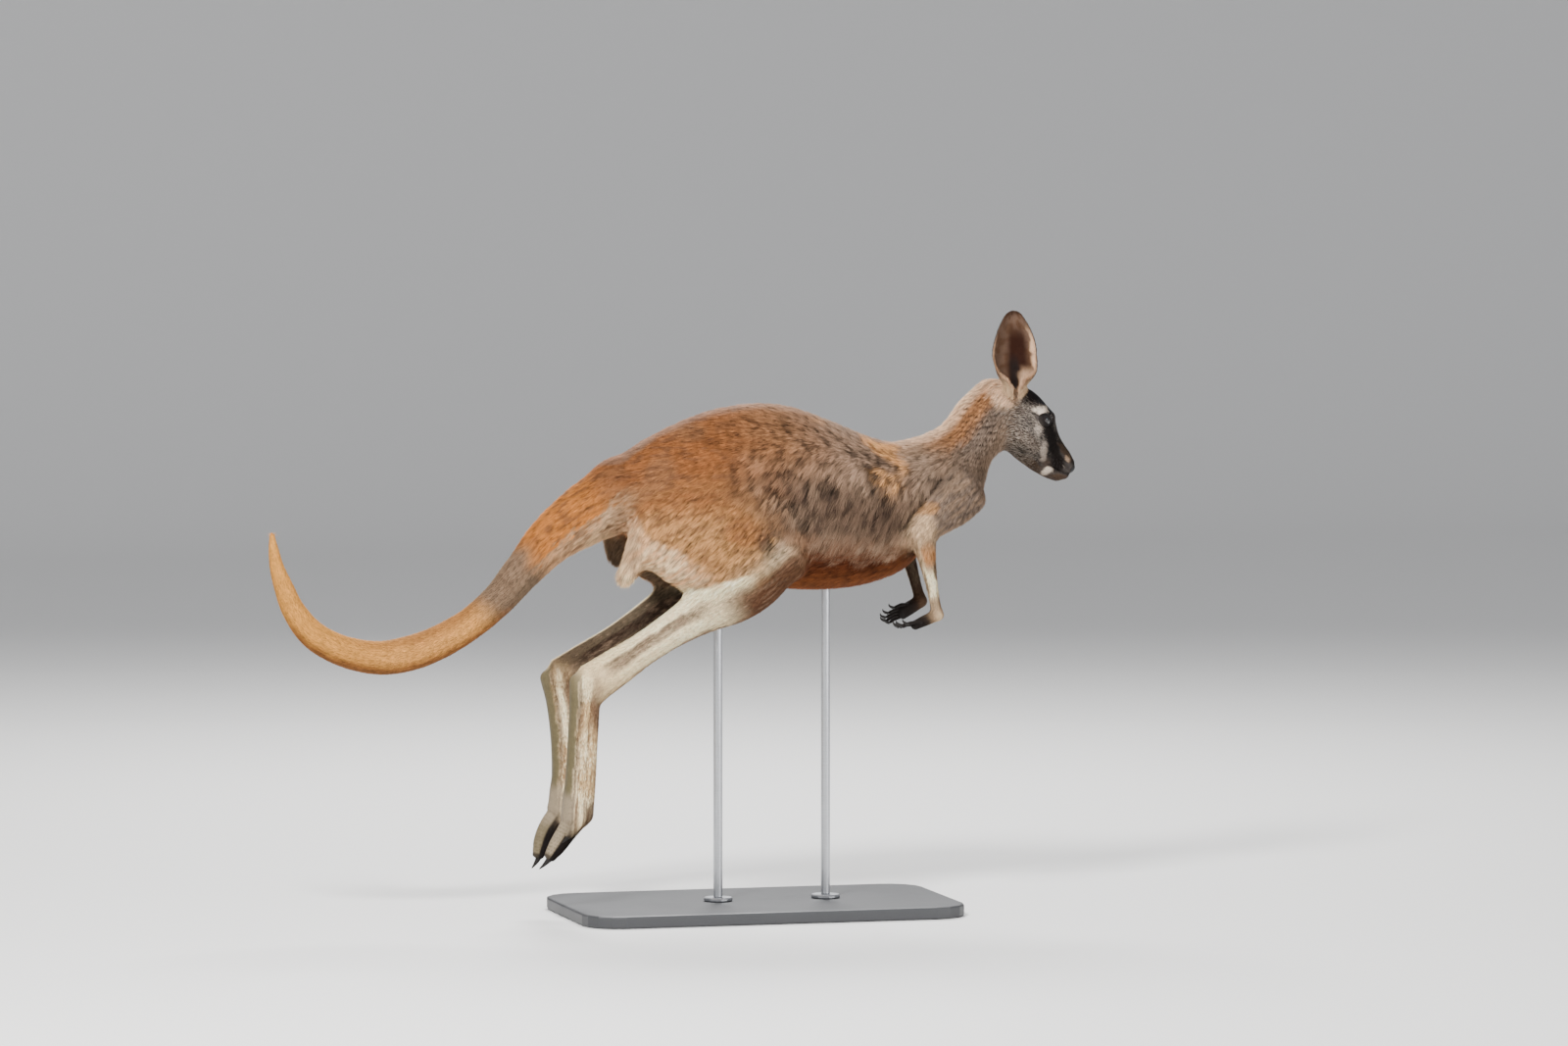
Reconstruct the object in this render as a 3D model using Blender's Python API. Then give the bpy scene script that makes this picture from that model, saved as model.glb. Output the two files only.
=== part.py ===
"""Red kangaroo in mid-leap, held over a plain display stand.

Metres, +X the way it leaps, +Y its left, +Z up; the origin is the centre of the stand's underside.
The body is a set of tapered tubes blended into one surface, which is then cut into nodes.
"""

import math

import bmesh
import bpy
import numpy as np
from mathutils import Matrix, Vector

# --- Driving dimensions -------------------------------------------------------------------
GAP = 0.0004  # clearance between neighbouring nodes
MERGE = 0.00001  # vertices closer than this become one
SHORTEST = 0.0003  # shorter edges left by a cut are closed up
VOXEL = 0.0038  # size of the first rough surface
BODY_TRIANGLES = 2700  # triangles in the body before it is cut
SPAN_STEPS = 6  # samples between two stations of a tube
RING_POINTS = 20  # points round a tube

BASE_LENGTH = 0.640
BASE_WIDTH = 0.360
BASE_THICKNESS = 0.020
BASE_CORNER = 0.060
BASE_EDGE = 0.003
ROD_RADIUS = 0.0075
ROD_FRONT_X = 0.120
ROD_REAR_X = -0.062
ROD_DEPTH = 0.040  # how far a rod stands inside the body
ROD_ROOM = 0.0005
FLANGE_RADIUS = 0.024
FLANGE_THICKNESS = 0.006

EYE_RADIUS = 0.0118
EYE_PLACE = (0.4815, 0.0325, 0.8010)
NOSE_PLACE = (0.5345, 0.0, 0.7210)
NOSE_SIZE = (0.0105, 0.0115, 0.0110)

EAR_WALL = 0.0034
EAR_RIM = 0.0016
# Share of the ear's length, half width
EAR_HALF_WIDTH = (
    (0.00, 0.0125),
    (0.15, 0.0190),
    (0.30, 0.0315),
    (0.46, 0.0368),
    (0.62, 0.0348),
    (0.77, 0.0275),
    (0.90, 0.0175),
    (1.00, 0.0055),
)

# Trunk stations: x, height of the back, height of the belly, half width
TRUNK = (
    (-0.225, 0.751, 0.640, 0.056),
    (-0.160, 0.789, 0.592, 0.088),
    (-0.085, 0.821, 0.562, 0.110),
    (-0.015, 0.833, 0.542, 0.119),
    (0.055, 0.829, 0.530, 0.119),
    (0.125, 0.805, 0.528, 0.112),
    (0.195, 0.776, 0.537, 0.097),
    (0.255, 0.765, 0.563, 0.081),
    (0.308, 0.770, 0.626, 0.068),
    (0.350, 0.758, 0.656, 0.054),
)
# Tail stations: x, z, half thickness
TAIL = (
    (-0.170, 0.708, 0.051),
    (-0.225, 0.687, 0.0485),
    (-0.280, 0.658, 0.0465),
    (-0.337, 0.618, 0.0385),
    (-0.378, 0.576, 0.0330),
    (-0.427, 0.524, 0.0298),
    (-0.476, 0.483, 0.0282),
    (-0.524, 0.456, 0.0294),
    (-0.573, 0.438, 0.0304),
    (-0.627, 0.431, 0.0290),
    (-0.686, 0.443, 0.0264),
    (-0.735, 0.470, 0.0238),
    (-0.767, 0.510, 0.0200),
    (-0.784, 0.550, 0.0164),
    (-0.795, 0.582, 0.0124),
    (-0.800, 0.611, 0.0086),
    (-0.802, 0.631, 0.0050),
)
# Neck stations: x, z, half width, nape side, throat side
NECK = (
    (0.285, 0.690, 0.064, 0.077, 0.056),
    (0.325, 0.714, 0.056, 0.075, 0.050),
    (0.362, 0.755, 0.049, 0.060, 0.044),
    (0.392, 0.796, 0.045, 0.057, 0.054),
    (0.418, 0.828, 0.040, 0.051, 0.056),
)
# Head: straight axis, then share of its length, half width, above, below
HEAD_AXIS = ((0.4193, 0.0, 0.8310), (0.5317, 0.0, 0.7223))
HEAD = (
    (0.00, 0.031, 0.038, 0.024),
    (0.16, 0.041, 0.049, 0.036),
    (0.34, 0.046, 0.049, 0.048),
    (0.50, 0.044, 0.045, 0.052),
    (0.66, 0.033, 0.030, 0.049),
    (0.78, 0.0255, 0.0235, 0.0455),
    (0.91, 0.0215, 0.0195, 0.0395),
    (1.00, 0.0190, 0.0150, 0.0320),
)

# Leg joints of each side: hip, back of thigh, knee, ankle, ball of the foot, toe end, claw end
NEAR_LEG = {
    "haunch": (-0.188, -0.070, 0.628),
    "knee": (0.036, -0.088, 0.598),
    "ankle": (-0.297, -0.062, 0.388),
    "ball": (-0.311, -0.058, 0.176),
    "toe": (-0.358, -0.058, 0.107),
    "claw": (-0.376, -0.057, 0.087),
    "bow": 0.0,
}
FAR_LEG = {
    "haunch": (-0.200, 0.068, 0.626),
    "knee": (0.036, 0.088, 0.600),
    "ankle": (-0.316, 0.062, 0.388),
    "ball": (-0.305, 0.058, 0.176),
    "toe": (-0.350, 0.056, 0.098),
    "claw": (-0.362, 0.055, 0.076),
    "bow": 0.008,
}
# Share of the way haunch to knee, half width, above, below
THIGH = (
    (0.00, 0.046, 0.058, 0.056),
    (0.22, 0.055, 0.085, 0.083),
    (0.48, 0.055, 0.092, 0.090),
    (0.72, 0.048, 0.074, 0.074),
    (0.90, 0.037, 0.050, 0.054),
    (1.00, 0.031, 0.036, 0.040),
)
# Share of the way knee to ankle, half width, front, back
SHIN = (
    (0.03, 0.031, 0.044, 0.034),
    (0.18, 0.036, 0.059, 0.050),
    (0.31, 0.035, 0.058, 0.050),
    (0.44, 0.028, 0.044, 0.035),
    (0.57, 0.021, 0.0350, 0.0280),
    (0.72, 0.0170, 0.0325, 0.0245),
    (0.86, 0.0165, 0.0370, 0.0270),
    (0.98, 0.0185, 0.0405, 0.0290),
)
# Share of the way ankle to ball, half width, front, sole
FOOT = (
    (0.00, 0.0200, 0.0240, 0.0300),
    (0.20, 0.0195, 0.0240, 0.0270),
    (0.48, 0.0200, 0.0245, 0.0260),
    (0.76, 0.0220, 0.0255, 0.0255),
    (1.00, 0.0235, 0.0250, 0.0260),
)
# Share of the way ball to toe end, half width, top, pad
TOE_FOUR = (
    (0.10, 0.0150, 0.0215, 0.0190),
    (0.45, 0.0128, 0.0175, 0.0165),
    (0.75, 0.0115, 0.0150, 0.0145),
    (1.00, 0.0085, 0.0100, 0.0105),
)

# Arm joints of each side
NEAR_ARM = {
    "shoulder": (0.346, -0.050, 0.692),
    "elbow": (0.262, -0.074, 0.626),
    "wrist": (0.2935, -0.058, 0.486),
    "knuckles": (0.258, -0.054, 0.470),
    "fingers": (0.231, -0.050, 0.467),
    "roll": -0.20,
}
FAR_ARM = {
    "shoulder": (0.346, 0.050, 0.692),
    "elbow": (0.262, 0.074, 0.640),
    "wrist": (0.2975, 0.055, 0.500),
    "knuckles": (0.266, 0.054, 0.482),
    "fingers": (0.236, 0.050, 0.474),
    "roll": -0.80,
}
UPPER_ARM = (
    (0.00, 0.026, 0.044, 0.040),
    (0.35, 0.028, 0.043, 0.040),
    (0.70, 0.026, 0.033, 0.032),
    (1.00, 0.022, 0.024, 0.026),
)
FOREARM = (
    (0.04, 0.0210, 0.0230, 0.0220),
    (0.35, 0.0150, 0.0160, 0.0155),
    (0.62, 0.0105, 0.0112, 0.0108),
    (0.86, 0.0095, 0.0095, 0.0095),
    (1.00, 0.0108, 0.0100, 0.0100),
)
PALM = (
    (0.00, 0.0115, 0.0100, 0.0100),
    (0.50, 0.0150, 0.0094, 0.0094),
    (1.00, 0.0165, 0.0078, 0.0078),
)
FINGER_SPREAD = (-0.0140, -0.0072, 0.0, 0.0070, 0.0132)
FINGER_REACH = (0.62, 0.92, 1.0, 0.92, 0.66)
FINGER_RADIUS = 0.0042
HAND_CLAW = 0.017
HAND_CLAW_RADIUS = 0.0026
FOOT_CLAW_RADIUS = 0.0062

# Toes beside the main one: share of the way along it, distance out, half width of the claw
SIDE_TOES = {
    "outer": (0.52, 0.0205, 0.0042),
    "inner": (0.40, -0.0170, 0.0032),
}
SIDE_CLAW = 0.019
OUTER_TOE = ((0.0, 0.0080, 0.0105, 0.0100), (1.0, 0.0060, 0.0075, 0.0075))
INNER_TOE = ((0.0, 0.0065, 0.0085, 0.0085), (1.0, 0.0055, 0.0065, 0.0065))
TUFT = ((0.0, 0.024, 0.030, 0.026), (1.0, 0.010, 0.018, 0.015))
FINGER = ((0.0, FINGER_RADIUS, 0.0044, 0.0044), (1.0, 0.0034, 0.0034, 0.0036))

# Ear of each side: base, tip, the way it opens
EARS = (
    ("right", (0.4290, -0.0330, 0.8480), (0.4225, -0.0560, 0.9810), (0.0, -1.0, 0.0)),
    ("left", (0.4330, 0.0330, 0.8480), (0.4560, 0.0580, 0.9720), (1.0, 0.10, 0.0)),
)

# Boxes that cut the middle of the body: node, start, end, half width, room above, room below
MIDDLE_CUTS = (
    ("tail_tip", (-0.655, 0, 0.500), (-0.830, 0, 0.500), 0.05, 0.16, 0.16),
    ("tail_middle", (-0.424, 0, 0.526), (-0.700, 0, 0.360), 0.05, 0.16, 0.10),
    ("tail_base", (-0.238, 0, 0.688), (-0.470, 0, 0.500), 0.07, 0.08, 0.07),
)
HEAD_CUTS = (
    ("head", (0.418, 0, 0.806), (0.600, 0, 0.752), 0.08, 0.14, 0.10),
    ("neck", (0.338, 0, 0.728), (0.490, 0, 0.872), 0.08, 0.12, 0.12),
)
# The thigh is cut along a plane that leans outward, between a top and a low line
THIGH_TOP = (0.085, 0.715)
THIGH_LOW = (0.014, 0.500)
THIGH_SPAN = (-0.262, 0.082)
THIGH_BOX = (0.100, 0.106, 0.130)
THIGH_MIDDLE = (0.1495, 0.6075)
# Shares of the way along each limb where one node ends and the next starts
TOE_START = 0.12
FOOT_START = 0.06
SHIN_START = 0.27
FOREARM_START = 0.18

COLOURS = {
    "rufous": (0.50, 0.30, 0.16),
    "grey": (0.38, 0.32, 0.27),
    "golden": (0.52, 0.36, 0.18),
    "cream": (0.72, 0.62, 0.48),
    "brown": (0.28, 0.20, 0.15),
    "dark": (0.03, 0.028, 0.026),
    "eye": (0.02, 0.012, 0.008),
    "stand": (0.09, 0.09, 0.095),
    "rod": (0.55, 0.56, 0.58),
}
# Start of a node's name, colour, roughness, metallic
FINISHES = (
    ("stand_base", "stand", 0.45, 0.0),
    ("stand_", "rod", 0.30, 1.0),
    ("eye_", "eye", 0.08, 0.0),
    ("nose", "dark", 0.40, 0.0),
    ("claw_", "dark", 0.30, 0.0),
    ("hand_", "dark", 0.85, 0.0),
    ("foot_", "cream", 0.85, 0.0),
    ("toe_", "cream", 0.85, 0.0),
    ("shin_", "cream", 0.85, 0.0),
    ("ear_", "brown", 0.85, 0.0),
    ("head", "grey", 0.90, 0.0),
    ("forearm_", "grey", 0.90, 0.0),
    ("upper_arm_", "grey", 0.90, 0.0),
    ("tail_middle", "golden", 0.90, 0.0),
    ("tail_tip", "golden", 0.90, 0.0),
    ("", "rufous", 0.90, 0.0),
)
SMOOTH_ANGLE = math.radians(40)  # edges sharper than this stay sharp


# --- Tubes --------------------------------------------------------------------------------
def unit(v):
    """Vectors scaled to length one."""
    v = np.asarray(v, float)
    return v / np.maximum(np.linalg.norm(v, axis=-1, keepdims=True), 1e-12)


def smooth_rows(rows, steps):
    """Catmull-Rom curve through the rows, steps samples in each span."""
    rows = np.asarray(rows, float)
    padded = np.vstack([2 * rows[0] - rows[1], rows, 2 * rows[-1] - rows[-2]])
    t = np.arange(steps)[:, None] / steps
    weights = (
        (-t + 2 * t**2 - t**3) / 2,
        (2 - 5 * t**2 + 3 * t**3) / 2,
        (t + 4 * t**2 - 3 * t**3) / 2,
        (t**3 - t**2) / 2,
    )
    spans = [
        sum(w * padded[i + k] for k, w in enumerate(weights)) for i in range(len(rows) - 1)
    ]
    return np.vstack(spans + [rows[-1:]])


def tube(rows, across=(0, 1, 0), power=2.0, blend=0.012, caps=(1.0, 1.0)):
    """A tapered tube through rows of x, y, z, half width, above, below."""
    s = smooth_rows(rows, SPAN_STEPS)
    along = unit(np.gradient(s[:, :3], axis=0))
    up = unit(np.cross(along, np.broadcast_to(unit(across), along.shape)))
    side = np.cross(up, along)
    ends = [cap * s[i, 3:].min() for cap, i in zip(caps, (0, -1))]
    return {
        "centre": s[:, :3],
        "along": along,
        "up": up,
        "side": side,
        "size": np.maximum(s[:, 3:], 1e-4),
        "ends": ends,
        "power": power,
        "blend": blend,
    }


def limb(start, end, profile, bow=0.0, **options):
    """A tube from start to end; its profile rows are share of the way and three half sizes."""
    start, end = np.asarray(start, float), np.asarray(end, float)
    along = unit(end - start)
    up = unit(np.cross(along, (0, 1, 0)))
    rows = []
    for share, *sizes in profile:
        lift = bow * 4 * share * (1 - share)
        rows.append([*(start + (end - start) * share + up * lift), *sizes])
    return tube(rows, **options)


def tube_distance(t, points):
    """Signed distance from points to a tube, negative inside."""
    c = t["centre"]
    near = (c**2).sum(1)[None] - 2 * points @ c.T
    i = near.argmin(1)
    step = np.linalg.norm(np.diff(c, axis=0), axis=1)
    step = np.append(step, step[-1])
    shift = ((points - c[i]) * t["along"][i]).sum(1) / step[i]
    place = np.clip(i + np.clip(shift, -1, 1), 0, len(c) - 1)
    low = np.minimum(place.astype(int), len(c) - 2)
    mix = (place - low)[:, None]

    def at(name):
        return t[name][low] * (1 - mix) + t[name][low + 1] * mix

    off = points - at("centre")
    p = (off * at("side")).sum(1)
    q = (off * at("up")).sum(1)
    w = (off * at("along")).sum(1)
    size = at("size")
    end = np.where(place < 0.5 * len(c), t["ends"][0], t["ends"][1])
    w = np.where((place <= 0) | (place >= len(c) - 1), w, 0.0)
    n = t["power"]
    ratio = (
        np.abs(p / size[:, 0]) ** n
        + np.abs(q / np.where(q > 0, size[:, 1], size[:, 2])) ** n
        + np.abs(w / end) ** n
    ) ** (1 / n)
    reach = np.sqrt(p**2 + q**2 + w**2)
    return reach * (1 - 1 / np.maximum(ratio, 1e-6))


def body_distance(tubes, points):
    """Smooth union of the tubes; each joins what came before with its own blend radius."""
    total = np.full(len(points), 1.0)
    for t in tubes:
        room = t["size"].max() + 4 * t["blend"] + 0.02
        low, high = t["centre"].min(0) - room, t["centre"].max(0) + room
        inside = ((points > low) & (points < high)).all(1)
        if not inside.any():
            continue
        d = tube_distance(t, points[inside])
        before = total[inside]
        k = t["blend"]
        h = np.clip(0.5 + 0.5 * (before - d) / k, 0, 1)
        total[inside] = before * (1 - h) + d * h - k * h * (1 - h)
    return total


def tube_mesh(t):
    """Points and faces of a closed tube with rounded ends."""
    rings, count = [], len(t["centre"])
    turn = 2 * math.pi * np.arange(RING_POINTS) / RING_POINTS
    cos, sin = np.cos(turn)[:, None], np.sin(turn)[:, None]
    places = [(0, -f) for f in (0.95, 0.7, 0.35)] + [(i, 0.0) for i in range(count)]
    places += [(count - 1, f) for f in (0.35, 0.7, 0.95)]
    for i, f in places:
        shrink = math.sqrt(1 - f * f)
        end = t["ends"][0] if f < 0 else t["ends"][1]
        middle = t["centre"][i] + t["along"][i] * f * end
        width, above, below = t["size"][i] * shrink
        height = np.where(sin > 0, above, below)
        rings.append(middle + cos * width * t["side"][i] + sin * height * t["up"][i])
    points = np.vstack(rings)
    faces = []
    for r in range(len(rings) - 1):
        for k in range(RING_POINTS):
            a, b = r * RING_POINTS + k, r * RING_POINTS + (k + 1) % RING_POINTS
            faces.append((a, b, b + RING_POINTS, a + RING_POINTS))
    faces.append(tuple(range(RING_POINTS))[::-1])
    last = (len(rings) - 1) * RING_POINTS
    faces.append(tuple(range(last, last + RING_POINTS)))
    return points, faces


def mirrored(p):
    """The point on the other side of the middle plane."""
    return (p[0], -p[1], p[2])


def leg_tubes(leg):
    """Thigh, shin, foot and toes of one leg."""
    inward = -math.copysign(1.0, leg["ball"][1])
    tubes = [
        limb(leg["haunch"], leg["knee"], THIGH, power=2.2, blend=0.035, caps=(0.7, 0.75)),
        limb(leg["knee"], leg["ankle"], SHIN, blend=0.022, caps=(0.6, 0.8)),
        limb(leg["ankle"], leg["ball"], FOOT, leg["bow"], power=2.4, blend=0.014, caps=(0.9, 0.8)),
        limb(leg["ball"], leg["toe"], TOE_FOUR, -leg["bow"], power=2.3, blend=0.008, caps=(0.6, 0.8)),
    ]
    ball, toe = np.array(leg["ball"]), np.array(leg["toe"])
    outer_start = ball + (0.004, -inward * 0.0150, -0.004)
    outer_end = ball + 0.52 * (toe - ball) + (0.004, -inward * 0.0205, 0.004)
    inner_start = ball + (0.006, inward * 0.0140, 0.002)
    inner_end = ball + 0.40 * (toe - ball) + (0.006, inward * 0.0170, 0.008)
    tubes.append(limb(outer_start, outer_end, OUTER_TOE, blend=0.003))
    tubes.append(limb(inner_start, inner_end, INNER_TOE, blend=0.003))
    tuft_start = np.array(leg["haunch"]) + (-0.014, inward * 0.014, -0.024)
    tuft_end = np.array(leg["haunch"]) + (-0.030, inward * 0.020, -0.078)
    tubes.append(limb(tuft_start, tuft_end, TUFT, blend=0.022))
    return tubes


def finger_ends(arm):
    """Root and tip of each finger of one hand, thumb side first."""
    knuckles, tips = np.array(arm["knuckles"]), np.array(arm["fingers"])
    reach, across = tips - knuckles, across_hand(arm)
    ends = []
    for spread, share in zip(FINGER_SPREAD, FINGER_REACH):
        root = knuckles + across * spread - 0.25 * reach
        tip = knuckles + across * spread * 1.35 + reach * share
        ends.append((root, tip))
    return ends


def across_hand(arm):
    """The direction across the palm, turned by the hand's roll."""
    return np.array((0.0, math.cos(arm["roll"]), math.sin(arm["roll"])))


def arm_tubes(arm):
    """Upper arm, forearm, palm and fingers of one arm."""
    tubes = [
        limb(arm["shoulder"], arm["elbow"], UPPER_ARM, blend=0.020, caps=(0.8, 0.9)),
        limb(arm["elbow"], arm["wrist"], FOREARM, blend=0.010, caps=(0.8, 0.9)),
    ]
    palm = limb(
        arm["wrist"], arm["knuckles"], PALM, across=across_hand(arm), power=2.4, blend=0.006
    )
    tubes.append(palm)
    for root, tip in finger_ends(arm):
        tubes.append(limb(root, tip, FINGER, bow=0.003, blend=0.0015))
    return tubes


def body_tubes():
    """All the tubes of the body in the order they are blended."""
    trunk = [(x, 0, (top + low) / 2, half, (top - low) / 2, (top - low) / 2)
             for x, top, low, half in TRUNK]
    tail = [(x, 0, z, half, half, half) for x, z, half in TAIL]
    neck = [(x, 0, z, *sizes) for x, z, *sizes in NECK]
    chest = [(0.292, 0, 0.690, 0.058, 0.060, 0.056), (0.346, 0, 0.704, 0.044, 0.045, 0.042)]
    tubes = [
        tube(trunk, power=2.15, blend=0.02, caps=(0.8, 0.62)),
        tube(tail, blend=0.045, caps=(0.8, 1.1)),
        tube(chest, blend=0.018, caps=(0.6, 0.95)),
        tube(neck, power=2.1, blend=0.030, caps=(0.7, 0.8)),
        limb(*HEAD_AXIS, HEAD, power=2.15, blend=0.024, caps=(0.9, 0.62)),
    ]
    brow = ((0.0, 0.010, 0.008, 0.010), (1.0, 0.007, 0.006, 0.008))
    ear_root = ((0.0, 0.020, 0.026, 0.024), (1.0, 0.015, 0.018, 0.016))
    cheek = ((0.0, 0.014, 0.022, 0.024), (1.0, 0.011, 0.014, 0.016))
    for y in (-1, 1):
        tubes.append(limb((0.470, 0.029 * y, 0.822), (0.497, 0.027 * y, 0.807), brow, blend=0.012))
        tubes.append(limb((0.450, 0.030 * y, 0.776), (0.478, 0.029 * y, 0.758), cheek, blend=0.016))
        tubes.append(limb((0.420, 0.024 * y, 0.838), (0.419, 0.034 * y, 0.872), ear_root, blend=0.012))
    for leg in (NEAR_LEG, FAR_LEG):
        tubes += leg_tubes(leg)
    for arm in (NEAR_ARM, FAR_ARM):
        tubes += arm_tubes(arm)
    return tubes


# --- Blender objects ----------------------------------------------------------------------
def clear_scene():
    """Removes every object and mesh."""
    for obj in list(bpy.data.objects):
        bpy.data.objects.remove(obj, do_unlink=True)
    for mesh in list(bpy.data.meshes):
        bpy.data.meshes.remove(mesh)


def new_object(name, points, faces):
    """A linked mesh object with its normals facing out."""
    mesh = bpy.data.meshes.new(name)
    mesh.from_pydata([tuple(p) for p in points], [], [tuple(f) for f in faces])
    obj = bpy.data.objects.new(name, mesh)
    bpy.context.scene.collection.objects.link(obj)
    edit = bmesh.new()
    edit.from_mesh(mesh)
    bmesh.ops.recalc_face_normals(edit, faces=edit.faces)
    edit.to_mesh(mesh)
    edit.free()
    return obj


def settle(obj):
    """Replaces the object's mesh with the result of its modifiers."""
    graph = bpy.context.evaluated_depsgraph_get()
    result = bpy.data.meshes.new_from_object(obj.evaluated_get(graph))
    obj.modifiers.clear()
    obj.data = result
    return obj


def copy_of(obj, name):
    """A linked copy with its own mesh."""
    twin = obj.copy()
    twin.data = obj.data.copy()
    twin.name = name
    bpy.context.scene.collection.objects.link(twin)
    return twin


def drop(obj):
    """Removes a helper object."""
    bpy.data.objects.remove(obj, do_unlink=True)


def boolean(obj, other, operation):
    """Applies a Boolean between two closed meshes."""
    cut = obj.modifiers.new("cut", "BOOLEAN")
    cut.operation = operation
    cut.solver = "MANIFOLD"  # EXACT loses whole limbs of this blended surface
    cut.object = other
    return settle(obj)


def largest_piece(obj):
    """Keeps only the biggest piece; an edge of just two faces joins them."""
    edit = bmesh.new()
    edit.from_mesh(obj.data)
    bmesh.ops.remove_doubles(edit, verts=edit.verts, dist=MERGE)
    todo, pieces = set(edit.faces), []
    while todo:
        piece, front = [], [todo.pop()]
        while front:
            face = front.pop()
            piece.append(face)
            plain = [edge for edge in face.edges if len(edge.link_faces) == 2]
            near = {other for edge in plain for other in edge.link_faces} & todo
            todo -= near
            front.extend(near)
        pieces.append(piece)
    pieces.sort(key=lambda piece: sum(face.calc_area() for face in piece))
    spare = [face for piece in pieces[:-1] for face in piece]
    bmesh.ops.delete(edit, geom=spare, context="FACES")
    edit.to_mesh(obj.data)
    edit.free()
    return obj


def cleaned(obj):
    """Closes up the short edges and thin slivers that a cut leaves."""
    edit = bmesh.new()
    edit.from_mesh(obj.data)
    bmesh.ops.remove_doubles(edit, verts=edit.verts, dist=SHORTEST)
    bmesh.ops.dissolve_degenerate(edit, edges=edit.edges, dist=SHORTEST / 3)
    bmesh.ops.triangulate(edit, faces=edit.faces, ngon_method="BEAUTY")
    edit.to_mesh(obj.data)
    edit.free()
    return obj


def vertex_array(mesh, name="co"):
    """Vertex positions or normals as an array."""
    flat = np.empty(len(mesh.vertices) * 3, np.float32)
    mesh.vertices.foreach_get(name, flat)
    return flat.reshape(-1, 3).astype(float)


def settle_on_surface(obj, tubes, rounds):
    """Moves the vertices along their normals onto the blended surface."""
    for _ in range(rounds):
        obj.data.update()
        points = vertex_array(obj.data)
        normals = vertex_array(obj.data, "normal")
        step = np.clip(body_distance(tubes, points), -VOXEL, VOXEL)
        points -= 0.8 * step[:, None] * normals
        obj.data.vertices.foreach_set("co", points.astype(np.float32).ravel())
    obj.data.update()


def make_body(tubes):
    """The whole animal as one closed surface."""
    points, faces, count = [], [], 0
    for t in tubes:
        p, f = tube_mesh(t)
        points.append(p)
        faces += [tuple(i + count for i in face) for face in f]
        count += len(p)
    body = new_object("body", np.vstack(points), faces)
    rough = body.modifiers.new("rough", "REMESH")
    rough.mode = "VOXEL"
    rough.voxel_size = VOXEL
    settle(body)
    largest_piece(body)
    settle_on_surface(body, tubes, rounds=7)
    fewer = body.modifiers.new("fewer", "DECIMATE")
    body.data.calc_loop_triangles()
    fewer.ratio = BODY_TRIANGLES / len(body.data.loop_triangles)
    settle(body)
    return body


BOX_FACES = ((0, 1, 3, 2), (4, 6, 7, 5), (0, 4, 5, 1), (2, 3, 7, 6), (0, 2, 6, 4), (1, 5, 7, 3))


def box_frame(start, end, width, up, down, across=(0, 1, 0)):
    """Corner points of a box whose length runs from start to end."""
    start, end = np.asarray(start, float), np.asarray(end, float)
    along = unit(end - start)
    rise = unit(np.cross(along, unit(across)))
    side = np.cross(rise, along)
    corners = []
    for p in (start, end):
        for s in (-1, 1):
            for r in (-down, up):
                corners.append(p + side * s * width + rise * r)
    return corners


def cut_node(body, name, start, end, width, up, down, across=(0, 1, 0)):
    """Takes the part of the body inside a box as its own node, leaving a gap behind."""
    start, end = np.asarray(start, float), np.asarray(end, float)
    along = unit(end - start)
    inner = new_object("inner", box_frame(start, end, width, up, down, across), BOX_FACES)
    wide = box_frame(
        start - along * GAP, end + along * GAP, width + GAP, up + GAP, down + GAP, across
    )
    outer = new_object("outer", wide, BOX_FACES)
    node = copy_of(body, name)
    boolean(node, inner, "INTERSECT")
    boolean(body, outer, "DIFFERENCE")
    largest_piece(node)
    largest_piece(body)
    drop(inner)
    drop(outer)
    return node


# --- Ears, eyes, nose, claws --------------------------------------------------------------
def ear_points(base, tip, opening, length_points=8, arc_points=8):
    """A rolled leaf: outer and inner sheets of a scoop that opens towards one direction."""
    base, tip = np.asarray(base, float), np.asarray(tip, float)
    along = unit(tip - base)
    front = unit(np.asarray(opening, float) - along * np.dot(opening, along))
    side = np.cross(along, front)
    share = np.linspace(0, 1, length_points)[:, None]
    turn = np.linspace(-1, 1, arc_points)[None]
    curve = smooth_rows(EAR_HALF_WIDTH, SPAN_STEPS)
    half = np.interp(share, curve[:, 0], curve[:, 1])
    reach = np.radians(158 - 92 * np.clip(share / 0.45, 0, 1) ** 0.8 - 10 * share)
    radius = half / np.maximum(np.sin(np.minimum(reach, np.pi / 2)), 0.6)
    angle = turn * reach
    lean = 0.006 * np.sin(np.pi * share)
    wall = EAR_WALL + (EAR_RIM - EAR_WALL) * np.maximum(np.abs(turn) ** 3, share**3)
    sheets = []
    for thick in (0.5, -0.5):
        r = radius + thick * wall
        x = r * np.sin(angle)
        y = lean - (r * np.cos(angle) - radius * 0.55)
        middle = base + (tip - base) * share[..., None]
        sheets.append(middle + x[..., None] * side + y[..., None] * front)
    return sheets


def sheet_solid(name, outer, inner):
    """Closes two matching grids into one solid."""
    rows, cols = outer.shape[:2]
    count = rows * cols
    points = np.vstack([outer.reshape(-1, 3), inner.reshape(-1, 3)])
    faces = []

    def at(r, c):
        return r * cols + c

    for r in range(rows - 1):
        for c in range(cols - 1):
            quad = (at(r, c), at(r, c + 1), at(r + 1, c + 1), at(r + 1, c))
            faces.append(quad)
            faces.append(tuple(i + count for i in reversed(quad)))
    edge = [at(0, c) for c in range(cols)] + [at(r, cols - 1) for r in range(1, rows)]
    edge += [at(rows - 1, c) for c in range(cols - 2, -1, -1)]
    edge += [at(r, 0) for r in range(rows - 2, 0, -1)]
    for a, b in zip(edge, edge[1:] + edge[:1]):
        faces.append((a, a + count, b + count, b))
    return new_object(name, points, faces)


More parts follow.
